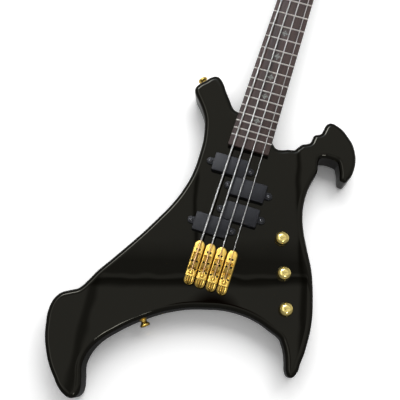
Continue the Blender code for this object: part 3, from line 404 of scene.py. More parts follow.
def new_finish(name, **sockets):
    """A Principled material, its graph and its Object coordinates."""
    material = bpy.data.materials.new(name)
    material.use_nodes = True
    graph = Graph(material.node_tree)
    shader = material.node_tree.nodes["Principled BSDF"]
    for key, value in sockets.items():
        shader.inputs[key.replace("_", " ")].default_value = value
    FINISHES[name] = material
    return graph, shader, graph.add("ShaderNodeTexCoord").outputs["Object"]


def connect(graph, shader, **sockets):
    for key, value in sockets.items():
        graph.tree.links.new(value, shader.inputs[key.replace("_", " ")])


def make_lacquer(tone):
    """Black lacquer: mirror-like, with faint ripples and polishing haze."""
    graph, shader, place = new_finish("lacquer", IOR=1.33, Specular_Tint=(1.0, 0.97, 0.82, 1.0))
    ripple = graph.noise(place, 16.0, 1.0)
    haze = graph.noise(place, 130.0, 4.0, 0.65)
    smear = graph.noise(graph.stretched(place, (9.0, 3.0, 9.0)), 2.0, 3.0)
    rough = graph.math("ADD", graph.span(haze, 0.35, 0.75, 0.004, 0.012),
                       graph.span(smear, 0.4, 0.8, 0.0, 0.008))
    depth = graph.mix(graph.noise(place, 5.0, 2.0), rgb(tone, 0.8), rgb(tone, 1.25))
    connect(graph, shader, Base_Color=depth, Roughness=rough, Normal=graph.bump(ripple, 0.035, 0.004))


def make_rosewood(tone):
    """Oiled rosewood with long grain, dark streaks and open pores."""
    graph, shader, place = new_finish("rosewood", IOR=1.45)
    grain = graph.noise(graph.stretched(place, (90.0, 4.0, 90.0)), 2.0, 6.0, 0.62)
    streak = graph.noise(graph.stretched(place, (30.0, 1.6, 30.0)), 2.2, 3.0, 0.55)
    pores = graph.noise(graph.stretched(place, (520.0, 28.0, 520.0)), 2.5, 2.0, 0.6)
    wood = graph.mix(graph.span(grain, 0.3, 0.72), rgb(tone, 0.62), rgb(tone, 1.5))
    wood = graph.mix(graph.span(streak, 0.52, 0.7), wood, rgb(tone, 0.42))
    open_pores = graph.span(pores, 0.60, 0.70)
    wood = graph.mix(open_pores, wood, rgb(tone, 0.25))
    rough = graph.span(grain, 0.2, 0.8, 0.36, 0.55)
    height = graph.math("SUBTRACT", graph.product(grain, 0.4), open_pores)
    connect(graph, shader, Base_Color=wood, Roughness=rough, Normal=graph.bump(height, 0.35, 0.0002))


def make_metal(name, tone, rough, variation, scratch=0.12):
    """Plated metal with faint tarnish, fine wipe marks and uneven polish."""
    graph, shader, place = new_finish(name, Metallic=1.0)
    cloud = graph.noise(place, 95.0, 3.0, 0.6)
    wipe = graph.noise(graph.stretched(place, (260.0, 1500.0, 260.0)), 1.6, 3.0, 0.6)
    base = graph.mix(graph.span(cloud, 0.3, 0.75), rgb(tone, 1.0 + variation), rgb(tone, 1.0 - variation))
    polish = graph.math("ADD", graph.span(cloud, 0.3, 0.7, rough * 0.8, rough * 1.25),
                        graph.product(wipe, rough * 0.4))
    connect(graph, shader, Base_Color=base, Roughness=polish, Normal=graph.bump(wipe, scratch, 0.00005))


def make_string_steel(tone, warm, front):
    """Round-wound steel: fine rings of wrap wire along the string with painted shade between them, and a
    painted reflection of the gold rails over the bridge.
    """
    graph, shader, place = new_finish("wound_steel", Metallic=1.0)
    along = graph.add("ShaderNodeAttribute", attribute_name="along").outputs["Fac"]
    wave = graph.math("SINE", graph.product(along, 2 * math.pi / WRAP_PITCH))
    groove = graph.span(wave, -1.0, -0.2)
    wear = graph.noise(graph.stretched(place, (200.0, 24.0, 200.0)), 1.5, 3.0)
    metal = graph.mix(graph.span(wear, 0.35, 0.7), rgb(tone, 1.1), rgb(tone, 0.8))
    # Painted shade: the grooves between the wraps are darkened to nine tenths of the steel's tone.
    metal = graph.mix(groove, rgb(tone, 0.9), metal)
    # Painted reflection: from just before the rails' front end backwards, the strings take the gold tint of
    # the rails below them.
    metal = graph.mix(graph.span(graph.part(place, 1), front - 0.002, front), rgb(warm), metal)
    connect(graph, shader, Base_Color=metal, Roughness=graph.span(wear, 0.3, 0.7, 0.34, 0.48),
            Normal=graph.bump(wave, 0.015, 0.0001))


def make_pearl(tone):
    """Shell with clouded, slightly rosy and greenish layers."""
    graph, shader, place = new_finish("pearl", IOR=1.5, Coat_Weight=0.2, Coat_Roughness=0.1)
    layer = graph.noise(graph.stretched(place, (1.0, 1.6, 1.0)), 420.0, 3.0, 0.6)
    warm = graph.mix(graph.span(layer, 0.35, 0.62), rgb(tone, 0.4), rgb(tone, 1.5))
    shell = graph.mix(graph.span(layer, 0.55, 0.72), warm, rgb((0.11, 0.15, 0.13)))
    connect(graph, shader, Base_Color=shell, Roughness=graph.span(layer, 0.3, 0.7, 0.18, 0.34))


def make_bone(tone):
    """Bone with faint lengthwise fibres."""
    graph, shader, place = new_finish("bone", IOR=1.54, Subsurface_Weight=0.12, Subsurface_Scale=0.002)
    fibre = graph.noise(graph.stretched(place, (12.0, 160.0, 160.0)), 3.0, 4.0)
    base = graph.mix(graph.span(fibre, 0.35, 0.7), rgb(tone, 1.06), rgb(tone, 0.84))
    connect(graph, shader, Base_Color=base, Roughness=graph.span(fibre, 0.3, 0.7, 0.3, 0.45),
            Normal=graph.bump(fibre, 0.1, 0.0001))


def make_plastic(name, tone, rough, grain):
    """Moulded black plastic with a fine satin grain."""
    graph, shader, place = new_finish(name, IOR=1.33)
    fine = graph.noise(place, 1900.0, 2.0)
    cloud = graph.noise(place, 40.0, 3.0)
    base = graph.mix(cloud, rgb(tone, 0.8), rgb(tone, 1.3))
    connect(graph, shader, Base_Color=base, Roughness=graph.span(cloud, 0.3, 0.7, rough * 0.85, rough * 1.15),
            Normal=graph.bump(fine, grain, 0.0001))


def make_finishes(colours):
    make_lacquer(colours.lacquer)
    make_rosewood(colours.rosewood)
    make_metal("gold", colours.gold, 0.10, 0.06)
    make_metal("satin_gold", colours.satin_gold, 0.31, 0.10, 0.25)
    make_metal("thumb_gold", colours.satin_gold, 0.15, 0.06)
    # Painted shade: the thumb barrels' core is satin gold darkened to a fifth, standing in for the shade
    # between the ribs.
    make_metal("aged_gold", rgb(colours.satin_gold, 0.2)[:3], 0.4, 0.2)
    make_metal("screw_steel", (0.10, 0.10, 0.105), 0.16, 0.15)
    make_metal("fret_metal", colours.nickel, 0.3, 0.06)
    make_metal("zinc", colours.zinc, 0.34, 0.15, 0.3)
    make_metal("dark_steel", (0.014, 0.010, 0.008), 0.4, 0.2)
    make_string_steel(colours.steel, colours.painted_rail_reflection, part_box("bridge_rail_e")[1].y)
    make_pearl(colours.pearl)
    make_bone(colours.bone)
    make_plastic("pickup_plastic", colours.plastic, 0.34, 0.16)
    make_plastic("cover_plastic", colours.plastic, 0.42, 0.3)


# Meshes

def finished_mesh(shape):
    """Close a bmesh into a welded mesh whose faces point outwards."""
    bmesh.ops.remove_doubles(shape, verts=shape.verts, dist=1e-7)
    bmesh.ops.recalc_face_normals(shape, faces=shape.faces)
    mesh = bpy.data.meshes.new("shape")
    shape.to_mesh(mesh)
    shape.free()
    return mesh


def eased(profile, radius):
    """A profile with each inner corner replaced by a short curve."""
    steps = 3
    points = [Vector(point) for point in profile]
    result = [points[0]]
    for before, corner, after in zip(points, points[1:], points[2:]):
        back = before - corner
        ahead = after - corner
        cut = min(radius, back.length * 0.45, ahead.length * 0.45)
        start = corner + back.normalized() * cut
        end = corner + ahead.normalized() * cut
        for k in range(steps + 1):
            t = k / steps
            result.append(start.lerp(corner, t).lerp(corner.lerp(end, t), t))
    result.append(points[-1])
    return [tuple(point) for point in result]


def lathe(profile, steps=56, ring=False):
    """Turn (radius, height) points about Z; a ring's profile closes on itself."""
    shape = bmesh.new()
    angles = [2 * math.pi * k / steps for k in range(steps)]
    loops = []
    for radius, height in profile:
        if radius == 0.0:
            loops.append([shape.verts.new((0.0, 0.0, height))])
        else:
            ring_points = [(radius * math.cos(a), radius * math.sin(a), height) for a in angles]
            loops.append([shape.verts.new(point) for point in ring_points])
    pairs = list(zip(loops, loops[1:]))
    if ring:
        pairs.append((loops[-1], loops[0]))
    for upper, lower in pairs:
        for k in range(steps):
            after = (k + 1) % steps
            corners = [upper[k % len(upper)], lower[k % len(lower)],
                       lower[after % len(lower)], upper[after % len(upper)]]
            shape.faces.new(list(dict.fromkeys(corners)))
    return finished_mesh(shape)


def slab(outline, bottom, top, edge=0.0, steps=3, both=False):
    """An outline raised from bottom to top, with its upper or both edges rounded."""
    shape = bmesh.new()
    base = shape.faces.new([shape.verts.new((x, y, bottom)) for x, y in outline])
    raised = bmesh.ops.extrude_face_region(shape, geom=[base])["geom"]
    verts = [item for item in raised if isinstance(item, bmesh.types.BMVert)]
    bmesh.ops.translate(shape, verts=verts, vec=(0.0, 0.0, top - bottom))
    bmesh.ops.recalc_face_normals(shape, faces=shape.faces)
    if edge:
        levels = (bottom, top) if both else (top,)
        edges = [e for e in shape.edges for level in levels
                 if all(abs(v.co.z - level) < 1e-7 for v in e.verts)]
        bmesh.ops.bevel(shape, geom=edges, offset=edge, offset_type="OFFSET", segments=steps,
                        profile=0.5, affect="EDGES", clamp_overlap=True)
    return finished_mesh(shape)


def box(low, high):
    return slab([(low[0], low[1]), (high[0], low[1]), (high[0], high[1]), (low[0], high[1])], low[2], high[2])


def rod(start, end, radius, steps=40):
    """A round bar between two points."""
    start = Vector(start)
    along = Vector(end) - start
    mesh = lathe([(0.0, along.length), (radius, along.length), (radius, 0.0), (0.0, 0.0)], steps)
    return aimed(mesh, start, along)


def aimed(mesh, place, facing):
    """Move a shape that stands on the origin along Z to a place, facing another way."""
    turn = Vector(facing).to_track_quat("Z", "Y").to_matrix().to_4x4()
    mesh.transform(Matrix.Translation(place) @ turn)
    return mesh


def arc(centre, radius, start, end, steps):
    angles = [math.radians(start + (end - start) * k / steps) for k in range(steps + 1)]
    return [(centre[0] + radius * math.cos(a), centre[1] + radius * math.sin(a)) for a in angles]


def rounded_rectangle(centre, width, height, radius, steps=6):
    x = width / 2 - radius
    y = height / 2 - radius
    points = []
    for sign_x, sign_y, angle in ((1, 1, 0), (-1, 1, 90), (-1, -1, 180), (1, -1, 270)):
        corner = (centre[0] + sign_x * x, centre[1] + sign_y * y)
        points += arc(corner, radius, angle, angle + 90, steps)
    return points


def capsule(start, end, radius, steps=20):
    lean = math.degrees(math.atan2(end[1] - start[1], end[0] - start[0]))
    return arc(start, radius, lean + 90, lean + 270, steps) + arc(end, radius, lean - 90, lean + 90, steps)


def merged(*meshes):
    """Several shapes as one mesh."""
    shape = bmesh.new()
    for mesh in meshes:
        shape.from_mesh(mesh)
        bpy.data.meshes.remove(mesh)
    mesh = bpy.data.meshes.new("shape")
    shape.to_mesh(mesh)
    shape.free()
    return mesh


def evaluated(item):
    """The plain mesh of an object as its modifiers leave it; the object is removed."""
    graph = bpy.context.evaluated_depsgraph_get()
    mesh = bpy.data.meshes.new_from_object(item.evaluated_get(graph), preserve_all_data_layers=True,
                                           depsgraph=graph)
    bpy.data.objects.remove(item, do_unlink=True)
    return mesh


def workpiece(mesh):
    item = bpy.data.objects.new("workpiece", mesh)
    bpy.context.scene.collection.objects.link(item)
    return item


def carved(mesh, *cutters, operation="DIFFERENCE"):
    """A mesh with closed shapes cut out of it or joined to it."""
    tools = bpy.data.collections.new("tools")
    bpy.context.scene.collection.children.link(tools)
    for cutter in cutters:
        tools.objects.link(bpy.data.objects.new("tool", cutter))
    item = workpiece(mesh)
    modifier = item.modifiers.new("carve", "BOOLEAN")
    modifier.operand_type = "COLLECTION"
    modifier.collection = tools
    modifier.operation = operation
    result = evaluated(item)
    for tool in list(tools.objects):
        bpy.data.objects.remove(tool, do_unlink=True)
    bpy.data.collections.remove(tools)
    if not result.polygons:
        raise RuntimeError("a cut left nothing of its piece")
    return result


def bevelled(mesh, width, steps=2, angle=30.0):
    """A mesh with its sharp edges rounded."""
    item = workpiece(mesh)
    modifier = item.modifiers.new("edges", "BEVEL")
    modifier.width = width
    modifier.segments = steps
    modifier.limit_method = "ANGLE"
    modifier.angle_limit = math.radians(angle)
    return evaluated(item)


def cad_copy(node):
    """A welded copy of a CAD node with its flat faces joined up."""
    shape = bmesh.new()
    shape.from_mesh(frame["nodes"][node].data)
    bmesh.ops.remove_doubles(shape, verts=shape.verts, dist=1e-6)
    bmesh.ops.dissolve_limit(shape, angle_limit=math.radians(1.0), verts=shape.verts, edges=shape.edges)
    return finished_mesh(shape)


def add_piece(name, mesh, finish, body, slot, *nodes):
    """Dress a mesh as a piece that rides a body and stands for CAD nodes."""
    mesh.name = name
    mesh.shade_smooth()
    mesh.set_sharp_from_angle(angle=math.radians(35))
    mesh.materials.clear()
    mesh.materials.append(FINISHES[finish])
    piece = bpy.data.objects.new(name, mesh)
    bpy.context.scene.collection.objects.link(piece)
    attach(piece, body)
    if nodes:
        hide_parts(*nodes)
    return piece


# Geometry Nodes

def geometry_tree(name, inputs):
    """An empty tree with named inputs; returns its graph and its input sockets."""
    tree = bpy.data.node_groups.new(name, "GeometryNodeTree")
    kinds = {"geometry": "NodeSocketGeometry", "float": "NodeSocketFloat", "int": "NodeSocketInt",
             "vector": "NodeSocketVector", "object": "NodeSocketObject", "material": "NodeSocketMaterial"}
    tree.interface.new_socket("Geometry", in_out="INPUT", socket_type=kinds["geometry"])
    for label, kind in inputs.items():
        tree.interface.new_socket(label, in_out="INPUT", socket_type=kinds[kind])
    tree.interface.new_socket("Geometry", in_out="OUTPUT", socket_type=kinds["geometry"])
    graph = Graph(tree)
    return graph, graph.add("NodeGroupInput").outputs


def close_tree(graph, geometry, material):
    """End a tree in plain smooth geometry with its material."""
    real = graph.add("GeometryNodeRealizeInstances", {"Geometry": geometry}).outputs[0]
    smooth = graph.add("GeometryNodeSetShadeSmooth", {"Geometry": real}).outputs[0]
    dressed = graph.add("GeometryNodeSetMaterial", {"Geometry": smooth, "Material": material}).outputs[0]
    graph.add("NodeGroupOutput", {"Geometry": dressed})
    return graph.tree


def grown(tree, values, mesh=None):
    """The plain mesh that a tree makes with these inputs."""
    item = workpiece(mesh or bpy.data.meshes.new("seed"))
    modifier = item.modifiers.new("shape", "NODES")
    modifier.node_group = tree
    for socket in tree.interface.items_tree:
        if socket.in_out == "INPUT" and socket.name in values:
            modifier[socket.identifier] = values[socket.name]
    result = evaluated(item)
    if not result.polygons:
        raise RuntimeError(f"the tree {tree.name} made no faces")
    return result


def fret_tree():
    """Crowned wires across the board, each at its place in the scale and as wide as the board there."""
    graph, given = geometry_tree("fret_wires", {
        "Fret Count": "int", "Scale Length": "float", "Nut Width": "float", "Widening": "float",
        "Board Top": "float", "Crown Width": "float", "Crown Height": "float", "Material": "material"})
    points = graph.add("GeometryNodeMeshLine", {"Count": given["Fret Count"], "Offset": (0.0, 0.0, 0.0)})
    number = graph.math("ADD", graph.add("GeometryNodeInputIndex").outputs[0], 1.0)
    share = graph.math("POWER", 2.0, graph.math("DIVIDE", number, -12.0))
    along = graph.product(share, given["Scale Length"])
    from_nut = graph.math("SUBTRACT", given["Scale Length"], along)
    width = graph.math("MULTIPLY_ADD", from_nut, given["Widening"], given["Nut Width"])
    place = graph.combine(0.0, along, given["Board Top"])
    line = graph.add("GeometryNodeSetPosition", {"Geometry": points.outputs[0], "Position": place})
    bar = graph.add("GeometryNodeMeshCylinder", {"Vertices": 20, "Radius": 1.0, "Depth": 1.0})
    crown = graph.combine(given["Crown Height"], graph.product(given["Crown Width"], 0.5), 1.0)
    sized = graph.add("GeometryNodeTransform", {"Geometry": bar.outputs["Mesh"], "Scale": crown})
    laid = graph.add("GeometryNodeTransform", {
        "Geometry": sized.outputs[0], "Rotation": (0.0, math.pi / 2, 0.0)})
    wires = graph.add("GeometryNodeInstanceOnPoints", {
        "Points": line.outputs[0], "Instance": laid.outputs[0], "Scale": graph.combine(width, 1.0, 1.0)})
    return close_tree(graph, wires.outputs[0], given["Material"])


def inlay_tree():
    """Four-pointed marks let into the board at given points."""
    graph, given = geometry_tree("inlays", {
        "Width": "float", "Waist": "float", "Thickness": "float", "Material": "material"})
    disc = graph.add("GeometryNodeMeshCylinder", {"Vertices": 32, "Radius": 0.5, "Depth": 1.0})
    position = graph.add("GeometryNodeInputPosition").outputs[0]
    angle = graph.math("ARCTAN2", graph.part(position, 1), graph.part(position, 0))
    wave = graph.math("SINE", graph.product(angle, 2.0))
    pinch = graph.math("SQRT", graph.math("ABSOLUTE", wave))
    hollow = graph.math("SUBTRACT", 1.0, given["Waist"])
    reach = graph.math("SUBTRACT", 1.0, graph.product(pinch, hollow))
    wide = graph.product(reach, given["Width"])
    star = graph.vector("MULTIPLY", position, graph.combine(wide, wide, given["Thickness"]))
    mark = graph.add("GeometryNodeSetPosition", {"Geometry": disc.outputs["Mesh"], "Position": star})
    marks = graph.add("GeometryNodeInstanceOnPoints", {
        "Points": given["Geometry"], "Instance": mark.outputs[0]})
    return close_tree(graph, marks.outputs[0], given["Material"])


def fastener_tree():
    """Copies of one screw at given points, turned to their facing, each at its own angle."""
    graph, given = geometry_tree("fasteners", {"Screw": "object", "Seed": "int", "Material": "material"})
    facing = graph.add("GeometryNodeInputNamedAttribute", {"Name": "facing"}, data_type="FLOAT_VECTOR")
    aim = graph.add("FunctionNodeAlignRotationToVector", {"Vector": facing.outputs[0]}, axis="Z")
    spin = graph.add("FunctionNodeRandomValue", {"Max": 2 * math.pi, "Seed": given["Seed"]},
                     data_type="FLOAT")
    twist = graph.add("FunctionNodeAxisAngleToRotation", {"Axis": (0.0, 0.0, 1.0), "Angle": spin.outputs[1]})
    turn = graph.add("FunctionNodeRotateRotation", {0: aim.outputs[0], 1: twist.outputs[0]},
                     rotation_space="LOCAL")
    screw = graph.add("GeometryNodeObjectInfo", {"Object": given["Screw"], "As Instance": True})
    copies = graph.add("GeometryNodeInstanceOnPoints", {
        "Points": given["Geometry"], "Instance": screw.outputs["Geometry"], "Rotation": turn.outputs[0]})
    return close_tree(graph, copies.outputs[0], given["Material"])


def rib_tree():
    """Ribs round a barrel along Y: copies of one given line, thinner where it nears the axis."""
    graph, given = geometry_tree("barrel_ribs", {
        "Ribs": "int", "Barrel Radius": "float", "Rib Radius": "float", "Centre": "vector",
        "Material": "material"})
    line = graph.add("GeometryNodeMeshToCurve", {"Mesh": given["Geometry"]})
    reach = graph.part(graph.add("GeometryNodeInputPosition").outputs[0], 0)
    taper = graph.math("DIVIDE", reach, given["Barrel Radius"])
    section = graph.add("GeometryNodeCurvePrimitiveCircle", {"Resolution": 8, "Radius": given["Rib Radius"]})
    rib = graph.add("GeometryNodeCurveToMesh", {
        "Curve": line.outputs[0], "Profile Curve": section.outputs[0], "Scale": taper, "Fill Caps": True})
    starts = graph.add("GeometryNodeMeshLine", {"Count": given["Ribs"], "Offset": (0.0, 0.0, 0.0)})
    share = graph.math("DIVIDE", graph.add("GeometryNodeInputIndex").outputs[0], given["Ribs"])
    turn = graph.combine(0.0, graph.product(share, 2 * math.pi), 0.0)
    ribs = graph.add("GeometryNodeInstanceOnPoints", {
        "Points": starts.outputs[0], "Instance": rib.outputs[0], "Rotation": turn})
    placed = graph.add("GeometryNodeTransform", {"Geometry": ribs.outputs[0], "Translation": given["Centre"]})
    return close_tree(graph, placed.outputs[0], given["Material"])


def wire_tree():
    """A round wire along a line of points, which keeps its distance along the line as an attribute."""
    graph, given = geometry_tree("round_wire", {"Radius": "float", "Sides": "int", "Material": "material"})
    line = graph.add("GeometryNodeMeshToCurve", {"Mesh": given["Geometry"]})
    distance = graph.add("GeometryNodeSplineParameter").outputs["Length"]
    marked = graph.add("GeometryNodeStoreNamedAttribute", {
        "Geometry": line.outputs[0], "Name": "along", "Value": distance}, data_type="FLOAT", domain="POINT")
    section = graph.add("GeometryNodeCurvePrimitiveCircle", {
        "Resolution": given["Sides"], "Radius": given["Radius"]})
    wire = graph.add("GeometryNodeCurveToMesh", {
        "Curve": marked.outputs[0], "Profile Curve": section.outputs[0], "Fill Caps": True})
    return close_tree(graph, wire.outputs[0], given["Material"])


TREES = {}


def make_trees():
    TREES.update(frets=fret_tree(), inlays=inlay_tree(), fasteners=fastener_tree(), ribs=rib_tree(),
                 wire=wire_tree())


def line_mesh(points):
    """A line of edges through points."""
    mesh = bpy.data.meshes.new("line")
    mesh.from_pydata([tuple(point) for point in points], [(k, k + 1) for k in range(len(points) - 1)], [])
    return mesh


def points_mesh(spots):
    """Loose points."""
    mesh = bpy.data.meshes.new("spots")
    mesh.from_pydata([tuple(spot) for spot in spots], [], [])
    return mesh


def wire(points, radius, finish, sides):
    """A round wire through points."""
    values = {"Radius": radius, "Sides": sides, "Material": FINISHES[finish]}
    shape = bmesh.new()
    shape.from_mesh(grown(TREES["wire"], values, line_mesh(points)))
    return finished_mesh(shape)


def add_screws(name, template, spots, up, finish, seed, body, slot, *nodes):
    """Copies of a screw at several places as one piece, facing up or down, each at its own angle."""
    screw = workpiece(template)
    mesh = points_mesh(spots)
    for item in mesh.attributes.new("facing", "FLOAT_VECTOR", "POINT").data:
        item.vector = (0.0, 0.0, up)
    values = {"Screw": screw, "Seed": seed, "Material": FINISHES[finish]}
    copies = grown(TREES["fasteners"], values, mesh)
    bpy.data.objects.remove(screw, do_unlink=True)
    add_piece(name, copies, finish, body, slot, *nodes)


def dress(node, finish):
    """Give a CAD node that stays in view a finish."""
    for holder in frame["nodes"][node].material_slots:
        holder.material = FINISHES[finish]


def cross_screw(diameter, dome, countersunk=0.0, shank=0.0):
    """A screw head on the origin with a cross recess; countersunk heads taper down to a shank."""
    radius = diameter / 2
    height = dome * diameter
    crown = [(radius * math.sin(a), height * math.cos(a)) for a in (math.pi / 2 * k / 6 for k in range(7))]
    profile = [(0.0, height)] + crown[1:]
    if countersunk:
        profile += [(shank / 2, -countersunk), (shank / 2, -4 * countersunk), (0.0, -4 * countersunk)]
    else:
        profile += [(radius, -height / 4), (0.0, -height / 4)]
    arm = diameter * 0.30
    half = diameter * 0.07
    floor = height - diameter * 0.24
    return carved(lathe(profile, 32), box((-arm, -half, floor), (arm, half, height * 2)),
                  box((-half, -arm, floor), (half, arm, height * 2)))


def socket_screw(diameter):
    """A round screw end with a six-sided socket, standing on the origin."""
    radius = diameter / 2
    top = diameter * 0.22
    profile = eased([(0.0, top), (radius, top), (radius, -2 * top), (0.0, -2 * top)], diameter * 0.08)
    hexagon = [(radius * 0.62 * math.cos(a), radius * 0.62 * math.sin(a))
               for a in (math.pi / 3 * k for k in range(6))]
    return carved(lathe(profile, 28), slab(hexagon, top * 0.2, top * 2))


# Lines of the neck and strings

def board_width(y):
    """Width of the fretboard at a place along the neck."""
    share = (SCALE_LENGTH - y) / (SCALE_LENGTH - BOARD_END)
    return NUT_WIDTH + (2 * BOARD_HIGH.x - NUT_WIDTH) * share


def middle(node):
    low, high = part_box(node)
    return (low + high) / 2


def string_x(index, y):
    at_bridge = middle(f"bridge_rail_{STRINGS[index]}").x
    at_nut = (index - (len(STRINGS) - 1) / 2) * STRING_PITCH_NUT
    return at_bridge + (at_nut - at_bridge) * y / SCALE_LENGTH


def string_z(index, y):
    at_bridge = BODY_TOP + STRING_RISE_AT_BRIDGE
    at_nut = BOARD_TOP + FRET_HEIGHT + STRING_OVER_FIRST_FRET
    return at_bridge + (at_nut - at_bridge) * y / SCALE_LENGTH + STRING_DIAMETERS[index] / 2


def ball_level(name):
    """Height of a string's ball end, which lies over the screw of its thumb barrel."""
    return middle(f"intonation_screw_{name}").z + THUMB_SCREW_RADIUS + 4 * GAP + BALL_RADIUS


# Body

def smooth_loop(points, step):
    """An even closed line through points, with curves between them as Blender's automatic handles make."""
    curve = bpy.data.curves.new("loop", "CURVE")
    curve.resolution_u = 24
    spline = curve.splines.new("BEZIER")
    spline.bezier_points.add(len(points) - 1)
    spline.use_cyclic_u = True
    for knot, (x, y) in zip(spline.bezier_points, points):
        knot.co = (x, y, 0.0)
        knot.handle_left_type = "AUTO"
        knot.handle_right_type = "AUTO"
    mesh = evaluated(workpiece(curve))
    fine = [vertex.co.xy for vertex in mesh.vertices]
    lengths = [0.0]
    for first, second in zip(fine, fine[1:] + fine[:1]):
        lengths.append(lengths[-1] + (second - first).length)
    count = round(lengths[-1] / step)
    result = []
    segment = 0
    for k in range(count):
        target = lengths[-1] * k / count
        while lengths[segment + 1] < target:
            segment += 1
        share = (target - lengths[segment]) / (lengths[segment + 1] - lengths[segment])
        result.append(fine[segment].lerp(fine[(segment + 1) % len(fine)], share))
    return result


def body_outline():
    """The body's outline, read from the widest ring of its solid and made smooth."""
    shape = bmesh.new()
    shape.from_mesh(frame["nodes"]["body"].data)
    bmesh.ops.remove_doubles(shape, verts=shape.verts, dist=1e-6)
    level = {v for v in shape.verts if abs(v.co.z - OUTLINE_LEVEL) < 2e-5}
    links = {v: [e.other_vert(v) for e in v.link_edges if e.other_vert(v) in level] for v in level}
    start = min(level, key=lambda v: v.co.y)
    loop = [start]
    previous = None
    current = start
    while True:
        ahead = [v for v in links[current] if v is not previous]
        previous, current = current, ahead[0]
        if current is start:
            break
        loop.append(current)
    points = [v.co.xy.copy() for v in loop]
    shape.free()
    if len(points) < 60:
        raise RuntimeError("the body's outline was not found")
    turn = sum(a.cross(b) for a, b in zip(points, points[1:] + points[:1]))
    if turn < 0.0:
        points.reverse()
    return points


def round_edge(distance, width, depth):
    """Drop of a rounded edge at a distance inside the outline."""
    inside = max(0.0, 1 - distance / width)
    return depth * (1 - math.sqrt(1 - inside ** 2))


def inward_normals(outline):
    """For each point of a closed line that runs anticlockwise, the way to its inside."""
    normals = []
    for k in range(len(outline)):
        along = (outline[(k + 1) % len(outline)] - outline[k - 1]).normalized()
        normals.append(Vector((-along.y, along.x)))
    return normals


def eased_step(share):
    share = min(1.0, max(0.0, share))
    return share * share * (3 - 2 * share)


def within(place, start, full, fading, end):
    """A share that grows from a start to its full value and fades again to an end."""
    return eased_step((place - start) / (full - start)) * eased_step((end - place) / (end - fading))


def swell(form, point, outward):
    """How far the body stands out beyond its solid, on its bass side, in its arch and at its treble waist."""
    x, y = point
    bass = form.bass_swell * within(y, *BASS_STRETCH_Y) + form.horn_swell * within(y, *HORN_STRETCH_Y)
    arch = form.arch_swell * within(x, *ARCH_STRETCH_X) * within(y, *ARCH_STRETCH_Y)
    treble = form.treble_swell * within(y, *TREBLE_STRETCH_Y)
    below = -outward.dot(Vector(PICTURE_UP).xy)
    sides = ((bass, -outward.x), (arch, below), (treble, outward.x))
    return sum(fullness * eased_step((facing - 0.45) / 0.4) for fullness, facing in sides)


def body_blank(form):
    """The body without its openings: flat faces with evenly rounded edges."""
    low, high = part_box("body")
    outline = [Vector((min(high.x, max(low.x, point.x)), min(high.y, max(low.y, point.y))))
               for point in smooth_loop(body_outline(), OUTLINE_STEP)]
    outline = [point - normal * swell(form, point, -normal)
               for point, normal in zip(outline, inward_normals(outline))]
    count = len(outline)
    tree = KDTree(count * 4)
    for k, point in enumerate(outline):
        after = outline[(k + 1) % count]
        for part in range(4):
            tree.insert((*point.lerp(after, part / 4), 0.0), 4 * k + part)
    tree.balance()
    inward = inward_normals(outline)
    steps = 12
    insets = [form.top_width * (1 - math.cos(math.pi / 2 * k / steps)) for k in range(1, steps + 1)]
    insets += [form.top_width * 1.2, form.top_width * 1.6]
    points = list(outline)
    edges = [(k, (k + 1) % count) for k in range(count)]
    for inset in insets:
        kept = {}
        for k in range(count):
            point = outline[k] + inward[k] * inset
            if tree.find((*point, 0.0))[2] > inset - 2e-5:
                kept[k] = len(points)
                points.append(point)
        edges += [(kept[k], kept[(k + 1) % count]) for k in kept if (k + 1) % count in kept]
    flat, _, triangles, origin, _, _ = delaunay_2d_cdt(points, edges, [], 1, 1e-7)
    shape = bmesh.new()
    upper = []
    lower = []
    rim = {}
    for index, point in enumerate(flat):
        on_rim = [k for k in origin[index] if k < count]
        distance = 0.0 if on_rim else tree.find((*point, 0.0))[2]
        top = BODY_TOP - round_edge(distance, form.top_width, form.top_drop)
        bottom = round_edge(distance, form.back_round, form.back_round)
        upper.append(shape.verts.new((*point, top)))
        lower.append(shape.verts.new((*point, bottom)))
        for k in on_rim:
            rim[k] = index
    for triangle in triangles:
        shape.faces.new([upper[k] for k in triangle])
        shape.faces.new([lower[k] for k in reversed(triangle)])
    for k in range(count):
        a, b = rim[k], rim[(k + 1) % count]
        shape.faces.new((lower[a], lower[b], upper[b], upper[a]))
    mesh = bpy.data.meshes.new("body_blank")
    bmesh.ops.recalc_face_normals(shape, faces=shape.faces)
    shape.to_mesh(mesh)
    shape.free()
    return mesh


def knob_line():
    first = middle("volume_knob")
    last = middle("tone_knob")
    return (first.x, first.y), (last.x, last.y)


def plate_corners(node, margin):
    """The corners of a flat node seen from above, moved outwards by a margin."""
    points = [v.co.xy for v in frame["nodes"][node].data.vertices]
    corners = [points[k] for k in convex_hull_2d(points)]
    centre = sum(corners, Vector((0.0, 0.0))) / len(corners)
    return [corner + (corner - centre).normalized() * margin for corner in corners]


def strap_seat(name):
    """Foot and facing of a strap button, from the mount on its end face."""
    mount = MOUNTS[f"{name}_strap_button"]
    facing = Vector(mount["axis"])
    return Vector(mount["pos_m"]) - facing * BUTTON_LENGTH, facing


def cover_radius():
    """Radius of the control cover's round ends."""
    low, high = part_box("control_cover")
    start, end = knob_line()
    return (high.x - low.x - abs(end[0] - start[0])) / 2


